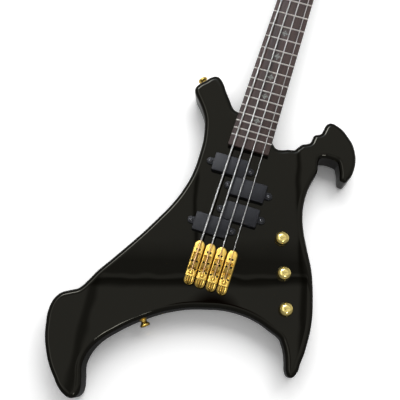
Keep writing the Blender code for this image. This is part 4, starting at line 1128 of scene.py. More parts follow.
def body_cutters():
    """Everything that is cut out of the body."""
    near = board_width(BOARD_END) / 2 + GAP
    far = board_width(POCKET_END) / 2 + GAP
    pocket = [(-near, BOARD_END - GAP), (near, BOARD_END - GAP), (far, POCKET_END), (-far, POCKET_END)]
    above = BODY_TOP + CUT_OVERRUN
    cutters = [slab(pocket, POCKET_FLOOR, above)]
    for name in PICKUPS:
        spot = middle(f"pickup_{name}")
        route = rounded_rectangle(spot, PICKUP_LENGTH + PICKUP_ROUTE_PLAY[0],
                                  PICKUP_WIDTH + PICKUP_ROUTE_PLAY[1], PICKUP_CORNER)
        cutters.append(slab(route, BODY_TOP - PICKUP_DEPTH - 2 * GAP, above))
    ledge = cover_radius() + GAP
    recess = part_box("control_cover")[1].z + GAP
    cavity_top = BODY_TOP - CAVITY_WALL
    cutters.append(slab(capsule(*knob_line(), ledge), -CUT_OVERRUN, recess))
    cutters.append(slab(capsule(*knob_line(), ledge - CAVITY_INSET), -CUT_OVERRUN, cavity_top))
    for name in CONTROLS:
        spot = middle(f"{name}_knob")
        cutters.append(rod((spot.x, spot.y, cavity_top - GAP), (spot.x, spot.y, above), BUSHING_HOLE))
    low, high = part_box("output_jack")
    centre = (low + high) / 2
    seat = Vector((high.x - JACK_FLANGE, centre.y, centre.z))
    cutters.append(rod(seat, seat + Vector((SEAT_CUT, 0.0, 0.0)), (high.z - low.z) / 2 + GAP))
    cutters.append(rod((low.x - GAP, centre.y, centre.z), seat + Vector((GAP, 0.0, 0.0)), JACK_HOLE))
    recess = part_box("neck_plate")[1].z + GAP
    cutters.append(slab(plate_corners("neck_plate", GAP), -CUT_OVERRUN, recess))
    for name in ("upper", "lower"):
        seat, facing = strap_seat(name)
        cutters.append(rod(seat, seat + SEAT_CUT * facing, BUTTON_SEAT))
    return cutters


def make_body(form):
    mesh = carved(body_blank(form), *body_cutters())
    add_piece("lacquered_body", mesh, "lacquer", "instrument", "black_lacquer", "body")


# Neck

def neck_ring(y, top, depth, roundness, half):
    """One section of the neck: a flat top, short straight sides and a rounded back."""
    steps = 36
    ring = []
    for k in range(steps + 1):
        t = math.pi * k / steps
        across = math.copysign(abs(math.cos(t)) ** roundness, math.cos(t))
        ring.append((half * across, y, top - NECK_SIDE - depth * math.sin(t) ** roundness))
    return ring + [(-half, y, top), (half, y, top)]


def make_neck():
    rings = []
    steps = 90
    for k in range(steps + 1):
        y = BOARD_END + (NUT_BACK - BOARD_END) * k / steps
        blend = eased_step((y - HEEL_END + HEEL_BLEND_LEAD) / HEEL_BLEND)
        slim = eased_step((y - HEEL_END) / (SCALE_LENGTH - HEEL_END))
        heel = NECK_TOP - NECK_SIDE - POCKET_FLOOR - GAP
        shaft = NECK_DEPTH_AT_HEEL + (NECK_DEPTH_AT_NUT - NECK_DEPTH_AT_HEEL) * slim
        depth = heel + (shaft - heel) * blend
        roundness = HEEL_ROUNDNESS + (NECK_ROUNDNESS - HEEL_ROUNDNESS) * blend
        rings.append(neck_ring(y, NECK_TOP, depth, roundness, board_width(y) / 2))
    back_at_nut = NECK_TOP - NECK_SIDE - NECK_DEPTH_AT_NUT
    ramp_steps = 12
    for k in range(1, ramp_steps + 1):
        share = eased_step(k / ramp_steps)
        y = NUT_BACK + HEAD_RAMP * k / ramp_steps
        top = NECK_TOP + (HEAD_FACE - HEAD_OVERLAP - NECK_TOP) * share
        bottom = HEAD_BACK + HEAD_OVERLAP + (back_at_nut - HEAD_BACK - HEAD_OVERLAP) * (1 - share)
        rings.append(neck_ring(y, top, top - NECK_SIDE - bottom, NECK_ROUNDNESS, board_width(NUT_BACK) / 2))
    shape = bmesh.new()
    loops = [[shape.verts.new(point) for point in ring] for ring in rings]
    shape.faces.new(loops[0])
    shape.faces.new(list(reversed(loops[-1])))
    for first, second in zip(loops, loops[1:]):
        for k in range(len(first)):
            after = (k + 1) % len(first)
            shape.faces.new((first[k], second[k], second[after], first[after]))
    shaft = finished_mesh(shape)
    half = [(x, SCALE_LENGTH + y) for x, y in HEAD_HALF_OUTLINE]
    outline = smooth_loop(half + [(-x, y) for x, y in reversed(half)], HEAD_STEP)
    head = slab([tuple(point) for point in outline], HEAD_BACK, HEAD_FACE, HEAD_EDGE, 4, both=True)
    mesh = carved(shaft, head, operation="UNION")
    low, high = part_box("truss_rod")
    axis = (low.z + high.z) / 2
    slot = box((-ROD_SLOT, NUT_BACK - ROD_SLOT_LEAD, axis - ROD_SLOT), (ROD_SLOT, high.y + GAP, BOARD_TOP))
    holes = []
    for name in STRINGS:
        x, y, _ = JOINTS[f"post_{name}_turn"]["pos_m"]
        holes.append(rod((x, y, HEAD_BACK - CUT_OVERRUN), (x, y, HEAD_FACE + CUT_OVERRUN), POST_HOLE))
    mesh = carved(mesh, slot, *holes)
    add_piece("lacquered_neck", mesh, "lacquer", "instrument", "black_lacquer", "neck")


# Fretboard

def make_fretboard(form):
    far_end = SCALE_LENGTH - GAP
    near = board_width(BOARD_END) / 2
    far = board_width(far_end) / 2
    outline = [(-near, BOARD_END), (near, BOARD_END), (far, far_end), (-far, far_end)]
    board = slab(outline, BOARD_LOW.z, BOARD_TOP, BOARD_EDGE, 3)
    add_piece("rosewood_board", board, "rosewood", "instrument", "rosewood", "fretboard")
    widening = (2 * BOARD_HIGH.x - NUT_WIDTH) / (SCALE_LENGTH - BOARD_END)
    frets = grown(TREES["frets"], {
        "Fret Count": FRET_COUNT, "Scale Length": SCALE_LENGTH, "Nut Width": NUT_WIDTH - FRET_SHORTER,
        "Widening": widening, "Board Top": BOARD_TOP, "Crown Width": FRET_CROWN,
        "Crown Height": FRET_HEIGHT, "Material": FINISHES["fret_metal"]})
    add_piece("fret_wires", frets, "fret_metal", "instrument", "string_steel")
    spots = []
    for space in INLAY_SPACES:
        ahead = SCALE_LENGTH * 2 ** (-space / 12)
        behind = SCALE_LENGTH * 2 ** (-(space - 1) / 12)
        spots.append((0.0, (ahead + behind) / 2, BOARD_TOP))
    mark = {"Width": form.inlay, "Waist": INLAY_WAIST, "Thickness": INLAY_THICKNESS,
            "Material": FINISHES["pearl"]}
    inlays = grown(TREES["inlays"], mark, points_mesh(spots))
    add_piece("pearl_inlays", inlays, "pearl", "instrument", "bone")
    add_piece("bone_nut", bevelled(cad_copy("nut"), NUT_EDGE), "bone", "instrument", "bone", "nut")


# Strings

def winding(index, start):
    """Points of one string round its post, going down from where it first touches."""
    x, y, _ = JOINTS[f"post_{STRINGS[index]}_turn"]["pos_m"]
    side = math.copysign(1.0, x)
    diameter = STRING_DIAMETERS[index]
    radius = POST_RADIUS + RUNNING_GAP + diameter / 2
    towards = Vector((x, y)) - start.xy
    heading = math.atan2(towards.y, towards.x) + side * math.asin(radius / towards.length)
    run = math.sqrt(towards.length ** 2 - radius ** 2)
    touch = start.xy + run * Vector((math.cos(heading), math.sin(heading)))
    first = math.atan2(touch.y - y, touch.x - x)
    pitch = diameter + WINDING_GAP
    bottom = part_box(f"tuner_bushing_{STRINGS[index]}")[1].z + RUNNING_GAP + diameter
    count = round(36 * WINDING_TURNS)
    points = []
    for k in range(count + 1):
        turn = WINDING_TURNS * k / count
        angle = first - side * 2 * math.pi * turn
        height = bottom + pitch * (WINDING_TURNS - turn)
        points.append(Vector((x + radius * math.cos(angle), y + radius * math.sin(angle), height)))
    return points


def bend(before, corner, after, reach):
    """A short curve in place of a corner."""
    start = corner + (before - corner).normalized() * reach
    end = corner + (after - corner).normalized() * reach
    shares = [k / 5 for k in range(6)]
    return [start.lerp(corner, share).lerp(corner.lerp(end, share), share) for share in shares]


def make_strings():
    for index, name in enumerate(STRINGS):
        diameter = STRING_DIAMETERS[index]
        rail_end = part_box(f"bridge_rail_{name}")[0].y
        ball_front = rail_end + BALL_BEHIND_RAIL_END
        x = string_x(index, 0.0)
        ball_height = ball_level(name)
        anchor = Vector((x, ball_front - BALL_LENGTH / 2, ball_height))
        front = Vector((x, ball_front, ball_height))
        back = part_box(f"bridge_saddle_{name}")[0].y + SADDLE_LENGTH - SADDLE_CREST_SETBACK - 3 * GAP
        lift = Vector((string_x(index, back), back, string_z(index, back)))
        nut = SCALE_LENGTH + (NUT_HIGH.y - NUT_LOW.y) / 2
        over = Vector((string_x(index, nut), nut, string_z(index, nut)))
        route = [anchor, front]
        route += bend(front, lift, over, BEND_AT_BRIDGE)
        turns = winding(index, over)
        route += bend(lift, over, turns[0], BEND_AT_NUT)
        route += turns
        end = BALL_LENGTH / 2
        ball = lathe(eased([(0.0, end), (BALL_RADIUS, end), (BALL_WAIST, 0.0), (BALL_RADIUS, -end),
                            (0.0, -end)], 0.0005), 32)
        aimed(ball, anchor, (0.0, 1.0, 0.0))
        add_piece(f"ball_end_{name}", ball, "satin_gold", "instrument", "gold_plate")
        mesh = wire(route, diameter / 2, "wound_steel", 14)
        add_piece(f"wound_string_{name}", mesh, "wound_steel", "instrument", "string_steel", f"string_{name}")


# Bridge

def pair(place, apart):
    """Two places, to the left and right of one."""
    x, y, z = place
    return [(x - apart, y, z), (x + apart, y, z)]


def make_bridge(form):
    spots = []
    for index, name in enumerate(STRINGS):
        make_rail(form, index, name)
        make_saddle(form, index, name)
        make_barrel(form, name)
        low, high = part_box(f"bridge_rail_{name}")
        x = (low.x + high.x) / 2
        spots += pair((x, high.y - RAIL_FRONT_SCREWS[0], high.z), RAIL_FRONT_SCREWS[1])
        spots += pair((x, low.y + RAIL_BACK_SCREWS[0], high.z), RAIL_BACK_SCREWS[1])
    screw = socket_screw(form.socket_head)
    add_screws("rail_screws", screw, spots, 1.0, "dark_steel", 3, "instrument", "plain_steel")


def make_rail(form, index, name):
    """A rail with a round front, a channel for the saddle and a pocket for the string's end."""
    low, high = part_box(f"bridge_rail_{name}")
    x = (low.x + high.x) / 2
    half = (high.x - low.x) / 2
    behind = low.y - 2 * form.rail_round
    outline = arc((x, high.y - half), half, 0, 180, 36) + [(x - half, behind), (x + half, behind)]
    blank = slab(outline, low.z, high.z, form.rail_round, 5)
    tail = box((x - 2 * half, behind - half, low.z - half), (x + 2 * half, low.y, high.z + half))
    inside = half - CHANNEL_WALL
    above = high.z + CUT_OVERRUN / 2
    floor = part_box(f"bridge_saddle_{name}")[0].z - GAP
    channel = box((x - inside, CHANNEL_BACK, floor), (x + inside, CHANNEL_FRONT, above))
    slot = STRING_DIAMETERS[index] / 2 + GAP
    ball_height = ball_level(name)
    groove = box((x - slot, low.y + GROOVE_BEHIND_RAIL_END, ball_height - slot - GAP),
                 (x + slot, GROOVE_FRONT, above))
    pocket = box((x - BALL_POCKET_HALF, low.y + BALL_POCKET[0], ball_height - BALL_RADIUS - GAP),
                 (x + BALL_POCKET_HALF, low.y + BALL_POCKET[1], above))
    axis = middle(f"intonation_screw_{name}").z
    hole = rod((x, low.y - 0.001, axis), (x, GROOVE_FRONT, axis), THUMB_SCREW_HOLE, 24)
    mesh = carved(carved(blank, tail), channel, groove, pocket, hole)
    add_piece(f"gold_rail_{name}", mesh, "satin_gold", "instrument", "gold_plate", f"bridge_rail_{name}")


def make_saddle(form, index, name):
    """A saddle block: the CAD form with eased edges, and two height screws."""
    mesh = bevelled(cad_copy(f"bridge_saddle_{name}"), form.small_round, 3)
    body = f"saddle_{name}"
    node = f"bridge_saddle_{name}"
    add_piece(f"gold_saddle_{name}", mesh, "satin_gold", body, "gold_plate", node)
    low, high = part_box(node)
    apart = (high.x - low.x - form.height_screw) / 2 - GAP
    spots = pair(((low.x + high.x) / 2, high.y - HEIGHT_SCREW_SETBACK, high.z), apart)
    screw = socket_screw(form.height_screw)
    add_screws(f"saddle_screws_{name}", screw, spots, 1.0, "dark_steel", 5 + index, body, "plain_steel")


def make_barrel(form, name):
    """A ribbed thumb barrel on its screw, its core darkened as painted shade between the ribs."""
    body = f"screw_{name}"
    node = f"intonation_screw_{name}"
    low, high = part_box(node)
    centre = (low + high) / 2
    radius = (high.x - low.x) / 2
    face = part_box(f"bridge_rail_{name}")[0].y - GAP
    core = radius - 1.7 * form.rib
    round_end = [(core * math.cos(a), low.y + form.barrel_end * (1 - math.sin(a)))
                 for a in (math.radians(7.5 * k) for k in range(12))]
    profile = [(0.0, high.y), (THUMB_SCREW_RADIUS, high.y), (THUMB_SCREW_RADIUS, face), (core - 0.0005, face),
               (core, face - 0.0005)]
    barrel = aimed(lathe(profile + round_end + [(0.0, low.y)]), (centre.x, 0.0, centre.z), (0.0, 1.0, 0.0))
    stand = 1 + 0.7 * form.rib / core
    points = [(core * stand, face - 0.0004, 0.0)] + [(x * stand, y, 0.0) for x, y in round_end[:-1]]
    ribs = grown(TREES["ribs"], {
        "Ribs": form.ribs, "Barrel Radius": core, "Rib Radius": form.rib,
        "Centre": (centre.x, 0.0, centre.z), "Material": FINISHES["thumb_gold"]}, line_mesh(points))
    add_piece(f"thumb_barrel_{name}", barrel, "aged_gold", body, "gold_plate", node)
    add_piece(f"barrel_ribs_{name}", ribs, "thumb_gold", body, "gold_plate")


# Pickups and controls

def make_pickups(form):
    spots = []
    for name in PICKUPS:
        node = f"pickup_{name}"
        low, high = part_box(node)
        centre = (low + high) / 2
        block = rounded_rectangle(centre, PICKUP_LENGTH, PICKUP_WIDTH, PICKUP_CORNER)
        case = slab(block, low.z, high.z, form.pickup_round, 4)
        half = PICKUP_EAR_PITCH / 2
        ears = capsule((centre.x - half, centre.y), (centre.x + half, centre.y), PICKUP_EAR_WIDTH / 2)
        bottom = BODY_TOP + GAP
        top = bottom + PICKUP_EAR_THICKNESS
        mesh = carved(case, slab(ears, bottom, top, PLASTIC_EDGE, 3), operation="UNION")
        add_piece(f"pickup_case_{name}", mesh, "pickup_plastic", "instrument", "pickup_plastic", node)
        spots += pair((centre.x, centre.y, top), half)
    screw = cross_screw(form.screw_head, dome=0.18)
    add_screws("pickup_screws", screw, spots, 1.0, "screw_steel", 11, "instrument", "plain_steel")


def make_controls():
    for name in CONTROLS:
        low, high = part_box(f"{name}_knob")
        centre = (low + high) / 2
        radius = (high.x - low.x) / 2
        rise = KNOB_DOME * (high.z - low.z)
        angles = [math.pi / 2 * k / 24 for k in range(25)]
        dome = [(radius * math.sin(a) ** KNOB_FULLNESS, high.z - rise * (1 - math.cos(a) ** KNOB_FULLNESS))
                for a in angles]
        lower, deepest, upper = (low.z + height for height in KNOB_GROOVE)
        hollow = KNOB_HOLLOW[0]
        ceiling = low.z + KNOB_HOLLOW[1]
        end = high.z - KNOB_TOP_WALL
        foot = eased([
            dome[-1], (radius, upper), (radius - KNOB_GROOVE_DEPTH, deepest), (radius, lower),
            (radius, low.z), (hollow, low.z), (hollow, ceiling), (KNOB_BORE, ceiling), (KNOB_BORE, end),
            (0.0, end)], 0.0003)
        knob = lathe([(0.0, high.z)] + dome[1:-1] + foot, 72)
        knob.transform(Matrix.Translation((centre.x, centre.y, 0.0)))
        add_piece(f"gold_knob_{name}", knob, "gold", f"{name}_control", "gold_plate", f"{name}_knob")
        dress(f"{name}_pot_case", "zinc")
        dress(f"{name}_pot_shaft", "zinc")


# Plates and covers

def make_covers(form):
    low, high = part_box("control_cover")
    start, end = (Vector(place) for place in knob_line())
    radius = cover_radius()
    cover = slab(capsule(start, end, radius, 32), low.z, high.z)
    cover = bevelled(cover, form.small_round, 2, 60.0)
    add_piece("cavity_cover", cover, "cover_plastic", "instrument", "black_plastic", "control_cover")
    tip = (end - start).normalized() * (radius - COVER_SCREW_INSET)
    across = Vector((-tip.y, tip.x))
    spots = [(*(start - tip), low.z), (*(end + tip), low.z)]
    for share in (0.2, 0.8):
        spot = start.lerp(end, share)
        spots += [(*(spot + across), low.z), (*(spot - across), low.z)]
    screw = cross_screw(SMALL_SCREW, dome=0.05, countersunk=0.0009, shank=0.0016)
    add_screws("cover_screws", screw, spots, -1.0, "dark_steel", 17, "instrument", "plain_steel")
    plate = bevelled(cad_copy("neck_plate"), form.small_round, 2, 60.0)
    add_piece("gold_neck_plate", plate, "gold", "instrument", "gold_plate", "neck_plate")
    nodes = [f"neck_screw_{n}" for n in range(1, 5)]
    spots = [(*middle(node).xy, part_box(node)[0].z + NECK_SCREW_SUNK) for node in nodes]
    screw = cross_screw(NECK_SCREW, dome=0.03, countersunk=0.0022, shank=0.0048)
    add_screws("neck_screws", screw, spots, -1.0, "gold", 23, "instrument", "gold_plate", *nodes)
    low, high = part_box("truss_rod_cover")
    bell = rounded_rectangle((low + high) / 2, high.x - low.x, high.y - low.y, (high.x - low.x) / 3, 10)
    cover = slab(bell, low.z, high.z, PLASTIC_EDGE, 3)
    add_piece("rod_cover", cover, "cover_plastic", "instrument", "black_plastic", "truss_rod_cover")
    spots = [(0.0, low.y + ROD_COVER_SCREW_INSET, high.z), (0.0, high.y - ROD_COVER_SCREW_INSET, high.z)]
    screw = cross_screw(SMALL_SCREW, dome=0.2)
    add_screws("rod_cover_screws", screw, spots, 1.0, "gold", 29, "instrument", "gold_plate")
    dress("truss_rod", "zinc")


# Output socket and strap buttons

def make_fittings():
    low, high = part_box("output_jack")
    centre = (low + high) / 2
    flange = (high.z - low.z) / 2
    deep = high.x - low.x
    profile = eased([
        (JACK_BORE, deep), (0.0062, deep), (0.0066, deep - 0.0009), (flange - 0.0006, deep - 0.0012),
        (flange, deep - 0.0025), (JACK_BARREL, deep - 0.0025), (JACK_BARREL, 0.0), (JACK_BORE, 0.0)], 0.0003)
    socket = aimed(lathe(profile, 64, ring=True), (low.x, centre.y, centre.z), (1.0, 0.0, 0.0))
    add_piece("gold_socket", socket, "gold", "instrument", "gold_plate", "output_jack")
    for name in ("upper", "lower"):
        seat, facing = strap_seat(name)
        top = BUTTON_LENGTH
        profile = eased([
            (0.0, top - 0.0012), (0.0028, top - 0.0012), (0.0034, top), (0.0064, top),
            (BUTTON_HEAD, top * 0.90), (BUTTON_HEAD, top * 0.76), (BUTTON_WAIST, top * 0.5),
            (BUTTON_WAIST, top * 0.25), (BUTTON_FOOT, top * 0.125), (BUTTON_FOOT, GAP), (BUTTON_SCREW, GAP),
            (BUTTON_SCREW, -BUTTON_SCREW_LENGTH), (0.0, -BUTTON_SCREW_LENGTH)], 0.0006)
        button = aimed(lathe(profile), seat, facing)
        node = f"strap_button_{name}"
        add_piece(f"gold_button_{name}", button, "satin_gold", "instrument", "gold_plate", node)


# Tuners

def wheel_outline():
    """Outline of the worm wheel, with a gap between two teeth towards +Y."""
    root = WHEEL_PITCH_RADIUS - WHEEL_DEDENDUM
    tip = WHEEL_PITCH_RADIUS + WHEEL_ADDENDUM
    step = 2 * math.pi / WHEEL_TEETH
    outline = []
    for tooth in range(WHEEL_TEETH):
        middle_angle = math.pi / 2 + step * (tooth + 0.5)
        for radius, share in ((root, -TOOTH_ROOT_SHARE), (tip, -TOOTH_TIP_SHARE),
                              (tip, TOOTH_TIP_SHARE), (root, TOOTH_ROOT_SHARE)):
            angle = middle_angle + share * step / 2
            outline.append((radius * math.cos(angle), radius * math.sin(angle)))
    return outline


def make_tuners(form):
    for name in STRINGS:
        x, y, z = JOINTS[f"post_{name}_turn"]["pos_m"]
        base = Matrix.Translation((x, y, z))
        if x < 0.0:
            base = base @ Matrix.Rotation(math.pi, 4, "Z")
        post_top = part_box(f"tuner_post_{name}")[1].z - z
        pieces = (
            ("tuner_plate", bevelled(cad_copy(f"tuner_housing_{name}"), form.small_round, 2), "instrument",
             "tuner_housing", Matrix.Identity(4)),
            ("string_post", post_mesh(post_top), f"post_{name}", "tuner_post", base),
            ("winding_key", key_mesh(), f"key_{name}", "tuner_key",
             base @ Matrix.Translation((0.0, WORM_OFFSET, WORM_HEIGHT))),
            ("post_bushing", bushing_mesh(), "instrument", "tuner_bushing", base),
        )
        for label, mesh, body, node, where in pieces:
            mesh.transform(where)
            add_piece(f"{label}_{name}", mesh, "gold", body, "gold_plate", f"{node}_{name}")


def post_mesh(top):
    """A string post with a split top, and the worm wheel on its foot."""
    foot = WHEEL_TOP - WHEEL_THICKNESS
    radius = POST_RADIUS
    waist = radius - 0.0004
    bottom = foot - WHEEL_THICKNESS / 2
    profile = eased([
        (0.0, top), (radius, top), (radius, top - 0.0035), (waist, top - 0.0045), (waist, top - 0.0125),
        (radius, top - 0.0135), (radius, bottom), (0.0, bottom)], 0.0006)
    split = box((-2 * radius, -0.0008, top - 0.005), (2 * radius, 0.0008, top + 0.001))
    wheel = slab(wheel_outline(), foot, WHEEL_TOP)
    return carved(carved(lathe(profile, 48), wheel, operation="UNION"), split)


def key_mesh():
    """The worm, its shaft and the key, about the shaft's axis along X."""
    reach = WORM_TURNS / 2 * WORM_PITCH + 2 * WORM_THREAD + WORM_BEARING
    low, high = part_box("tuner_key_g")
    start, end = -reach - GAP, high.x - low.x - reach - GAP
    heart = end - KEY_LENGTH / 2
    shaft = rod((start, 0.0, 0.0), (heart, 0.0, 0.0), WORM_SHAFT_RADIUS)
    collar = aimed(lathe(eased([(0.0, 0.004), (0.0026, 0.004), (0.0034, 0.0), (0.0, 0.0)], 0.0005)),
                   (end - KEY_LENGTH - 0.0025, 0.0, 0.0), (1.0, 0.0, 0.0))
    count = round(WORM_TURNS * 20)
    ring = WORM_PITCH_RADIUS - WORM_THREAD / 3
    thread = []
    for k in range(count + 1):
        turn = WORM_TURNS * (k / count - 0.5)
        angle = math.pi + 2 * math.pi * turn
        thread.append((WORM_PITCH * turn, ring * math.cos(angle), ring * math.sin(angle)))
    worm = wire(thread, WORM_THREAD, "gold", 10)
    outline = rounded_rectangle((heart, 0.0), KEY_LENGTH, KEY_WIDTH, KEY_CORNER, 12)
    paddle = slab(outline, -KEY_THICKNESS / 2, KEY_THICKNESS / 2, KEY_EDGE, 5, both=True)
    return merged(shaft, collar, worm, paddle)


def bushing_mesh():
    bore = POST_RADIUS + GAP
    rest = HEAD_THICKNESS + GAP
    top = rest + BUSHING_RISE
    foot = HEAD_THICKNESS / 3
    profile = eased([
        (bore, top), (0.0068, top), (BUSHING_FLANGE, rest + 0.0008), (BUSHING_FLANGE, rest),
        (BUSHING_RADIUS, rest), (BUSHING_RADIUS, foot), (bore, foot)], 0.0004)
    return lathe(profile, 56, ring=True)


# Stage

def bright_panel(graph, u, v, sides):
    """A soft-edged bright field; each of its four sides runs from dark to light."""
    left, right, near, far = (graph.span(value, *side) for value, side in zip((u, u, v, v), sides))
    return graph.product(graph.product(left, right), graph.product(near, far))


def make_world():
    """White behind the object; a softbox ceiling with dark joints for what the gloss reflects."""
    world = bpy.data.worlds.new("studio")
    bpy.context.scene.world = world
    world.use_nodes = True
    tree = world.node_tree
    tree.nodes.clear()
    graph = Graph(tree)
    direction = graph.add("ShaderNodeTexCoord").outputs["Generated"]
    height = graph.part(direction, 2)
    rise = graph.math("MAXIMUM", height, 0.08)
    u = graph.math("DIVIDE", graph.along(direction, PICTURE_RIGHT), rise)
    v = graph.math("DIVIDE", graph.along(direction, PICTURE_UP), rise)
    rows = graph.ramp(graph.span(v, 0.0, 0.4), [
        (0.0, 0.80), (0.286, 0.80), (0.305, 0.25), (0.323, 0.12), (0.327, 0.66), (0.337, 0.66), (0.341, 0.33),
        (0.39, 0.33), (0.47, 0.74), (1.0, 0.84)])
    far_joints = graph.ramp(graph.span(u, -0.35, 0.35), [
        (0.0, 1.0), (0.429, 1.0), (0.432, 0.25), (0.437, 0.25), (0.441, 1.0), (0.655, 1.0), (0.660, 0.3),
        (0.666, 0.3), (0.671, 1.0), (1.0, 1.0)])
    slant = graph.product(graph.span(u, -0.1, 0.1, -0.2, -0.07), graph.math("SUBTRACT", v, 0.055))
    near_joints = graph.ramp(graph.span(graph.math("ADD", u, slant), -0.35, 0.35), [
        (0.0, 1.0), (0.184, 1.0), (0.193, 0.4), (0.204, 0.4), (0.214, 1.0), (0.650, 1.0), (0.657, 0.25),
        (0.667, 0.25), (0.674, 1.0), (1.0, 1.0)])
    columns = graph.mix(graph.span(v, 0.12, 0.15), near_joints, far_joints)
    ceiling = graph.mix(1.0, rows, columns)
    ceiling.node.blend_type = "MULTIPLY"
    across = graph.math("DIVIDE", graph.math("ADD", u, 0.02), 0.055)
    along = graph.math("DIVIDE", graph.math("SUBTRACT", v, 0.03), 0.08)
    spread = graph.math("SQRT", graph.math("ADD", graph.product(across, across), graph.product(along, along)))
    eye = graph.span(spread, 0.85, 1.1)
    sky = graph.product(graph.span(v, 0.45, 0.62, 0.0, 3.4), graph.span(u, 0.2, 0.04))
    ceiling = graph.vector("ADD", ceiling, graph.scaled((0.84, 0.97, 1.22), sky))
    towards_left = graph.along(direction, (-0.85, 0.53, 0.0))
    walls = graph.span(towards_left, -0.7, 0.7, 0.55, 0.30)
    overhead = graph.span(height, 0.70, 0.84)
    studio = graph.mix(overhead, walls, ceiling)
    studio = graph.scaled(studio, graph.span(v, -0.42, -0.2, 0.55, 1.0))
    left_panel = bright_panel(graph, u, v, ((-0.37, -0.40), (-0.66, -0.62), (-0.25, -0.15), (0.78, 0.70)))
    near_panel = bright_panel(graph, u, v, ((0.09, 0.11), (0.22, 0.20), (-0.62, -0.60), (-0.42, -0.44)))
    far_panel = bright_panel(graph, u, v, ((-0.08, -0.11), (-0.56, -0.52), (0.52, 0.55), (0.78, 0.74)))
    panels = graph.math("MULTIPLY_ADD", left_panel, graph.span(v, 0.15, 0.45, 1.2, 3.0),
                        graph.math("MULTIPLY_ADD", far_panel, 15.0, graph.product(near_panel, 18.0)))
    studio = graph.vector("ADD", studio, graph.product(panels, graph.span(height, 0.3, 0.4)))
    studio = graph.mix(eye, (0.05, 0.01, 0.01, 1.0), studio)
    paths = graph.add("ShaderNodeLightPath").outputs
    soft = graph.add("ShaderNodeBackground", {"Color": (1.0, 1.0, 1.0, 1.0), "Strength": 0.47})
    gloss = graph.add("ShaderNodeBackground", {"Color": studio, "Strength": 1.0})
    white = graph.add("ShaderNodeBackground", {"Color": (1.0, 1.0, 1.0, 1.0), "Strength": 1.0})
    lit = graph.blend(paths["Is Glossy Ray"], soft, gloss)
    seen = graph.blend(paths["Is Camera Ray"], lit, white)
    graph.add("ShaderNodeOutputWorld", {0: seen.outputs[0]})


def make_floor(settings):
    """A pale floor that keeps the shadow, seen from above only; in reflections it carries painted shade,
    darker towards the picture's bottom.
    """
    floor = workpiece(slab([(-5.0, -5.0), (5.0, -5.0), (5.0, 5.0), (-5.0, 5.0)], -0.001, -0.0006))
    floor.name = "floor"
    material = bpy.data.materials.new("floor")
    material.use_nodes = True
    graph = Graph(material.node_tree)
    material.node_tree.nodes.clear()
    place = graph.add("ShaderNodeTexCoord").outputs["Object"]
    paper = graph.noise(place, 40.0, 2.0)
    tone = graph.mix(paper, rgb(settings.floor, 0.995), rgb(settings.floor, 1.005))
    paths = graph.add("ShaderNodeLightPath").outputs
    # Painted shade: in glossy rays the floor is dimmed to 0.8, and to 0.22 towards the picture's bottom,
    # standing in for the shadow that the body's walls reflect.
    painted_shade_in_reflections = graph.span(graph.along(place, PICTURE_UP), -0.06, 0.0, 0.22, 0.8)
    lift = graph.product(graph.span(paths["Is Camera Ray"], 0.0, 1.0, 1.0, settings.floor_lift),
                         graph.span(paths["Is Glossy Ray"], 0.0, 1.0, 1.0, painted_shade_in_reflections))
    surface = graph.add("ShaderNodeBsdfDiffuse", {"Color": graph.scaled(tone, lift)})
    clear = graph.add("ShaderNodeBsdfTransparent")
    facing = graph.part(graph.add("ShaderNodeNewGeometry").outputs["True Normal"], 2)
    both = graph.blend(graph.math("LESS_THAN", facing, 0.0), surface, clear)
    graph.add("ShaderNodeOutputMaterial", {0: both.outputs[0]})
    floor.data.materials.append(material)


def add_lamp(name, place, target, size, power):
    data = bpy.data.lights.new(name, "AREA")
    data.shape = "RECTANGLE"
    data.size, data.size_y = size
    data.energy = power
    lamp = bpy.data.objects.new(name, data)
    lamp.location = place
    lamp.rotation_euler = (Vector(target) - Vector(place)).to_track_quat("-Z", "Y").to_euler()
    lamp.visible_glossy = False
    bpy.context.scene.collection.objects.link(lamp)


def make_stage(settings):
    make_world()
    make_floor(settings)
    add_lamp("key", (0.1, 1.75, 1.7), (0.0, 0.1, 0.0), (2.3, 1.7), settings.key)
    add_lamp("fill", (-1.5, 0.9, 1.2), (0.0, 0.1, 0.0), (0.9, 0.9), settings.fill)
    data = bpy.data.cameras.new("camera")
    data.lens = settings.lens
    data.sensor_width = 36.0
    camera = bpy.data.objects.new("camera", data)
    camera.location = settings.camera
    camera.rotation_euler = settings.aim
    bpy.context.scene.collection.objects.link(camera)
    bpy.context.scene.camera = camera
    bpy.context.scene.view_settings.view_transform = "Standard"


# Operators

class BASS_OT_finishes(bpy.types.Operator):
    """Mix the finishes and build the node trees that the pieces share"""
    bl_idname = "bass.finishes"
    bl_label = "Finishes"

    def execute(self, context):
        make_finishes(context.scene.bass_finish)
        make_trees()
        return {"FINISHED"}


class BASS_OT_body(bpy.types.Operator):
    """Round and cut the lacquered body"""
    bl_idname = "bass.body"
    bl_label = "Body"

    def execute(self, context):
        make_body(context.scene.bass_form)
        return {"FINISHED"}


class BASS_OT_neck(bpy.types.Operator):
    """Shape the neck with its heel and head"""
    bl_idname = "bass.neck"
    bl_label = "Neck"

    def execute(self, context):
        make_neck()
        return {"FINISHED"}


class BASS_OT_fretboard(bpy.types.Operator):
    """Lay the fretboard with its frets, marks and nut"""
    bl_idname = "bass.fretboard"
    bl_label = "Fretboard"

    def execute(self, context):
        make_fretboard(context.scene.bass_form)
        return {"FINISHED"}


class BASS_OT_strings(bpy.types.Operator):
    """Run the four strings from their ball ends to their posts"""
    bl_idname = "bass.strings"
    bl_label = "Strings"

    def execute(self, context):
        make_strings()
        return {"FINISHED"}


class BASS_OT_bridge(bpy.types.Operator):
    """Make the four bridge rails with saddles and thumb barrels"""
    bl_idname = "bass.bridge"
    bl_label = "Bridge"

    def execute(self, context):
        make_bridge(context.scene.bass_form)
        return {"FINISHED"}


class BASS_OT_pickups(bpy.types.Operator):
    """Make the two split pickups"""
    bl_idname = "bass.pickups"
    bl_label = "Pickups"

    def execute(self, context):
        make_pickups(context.scene.bass_form)
        return {"FINISHED"}


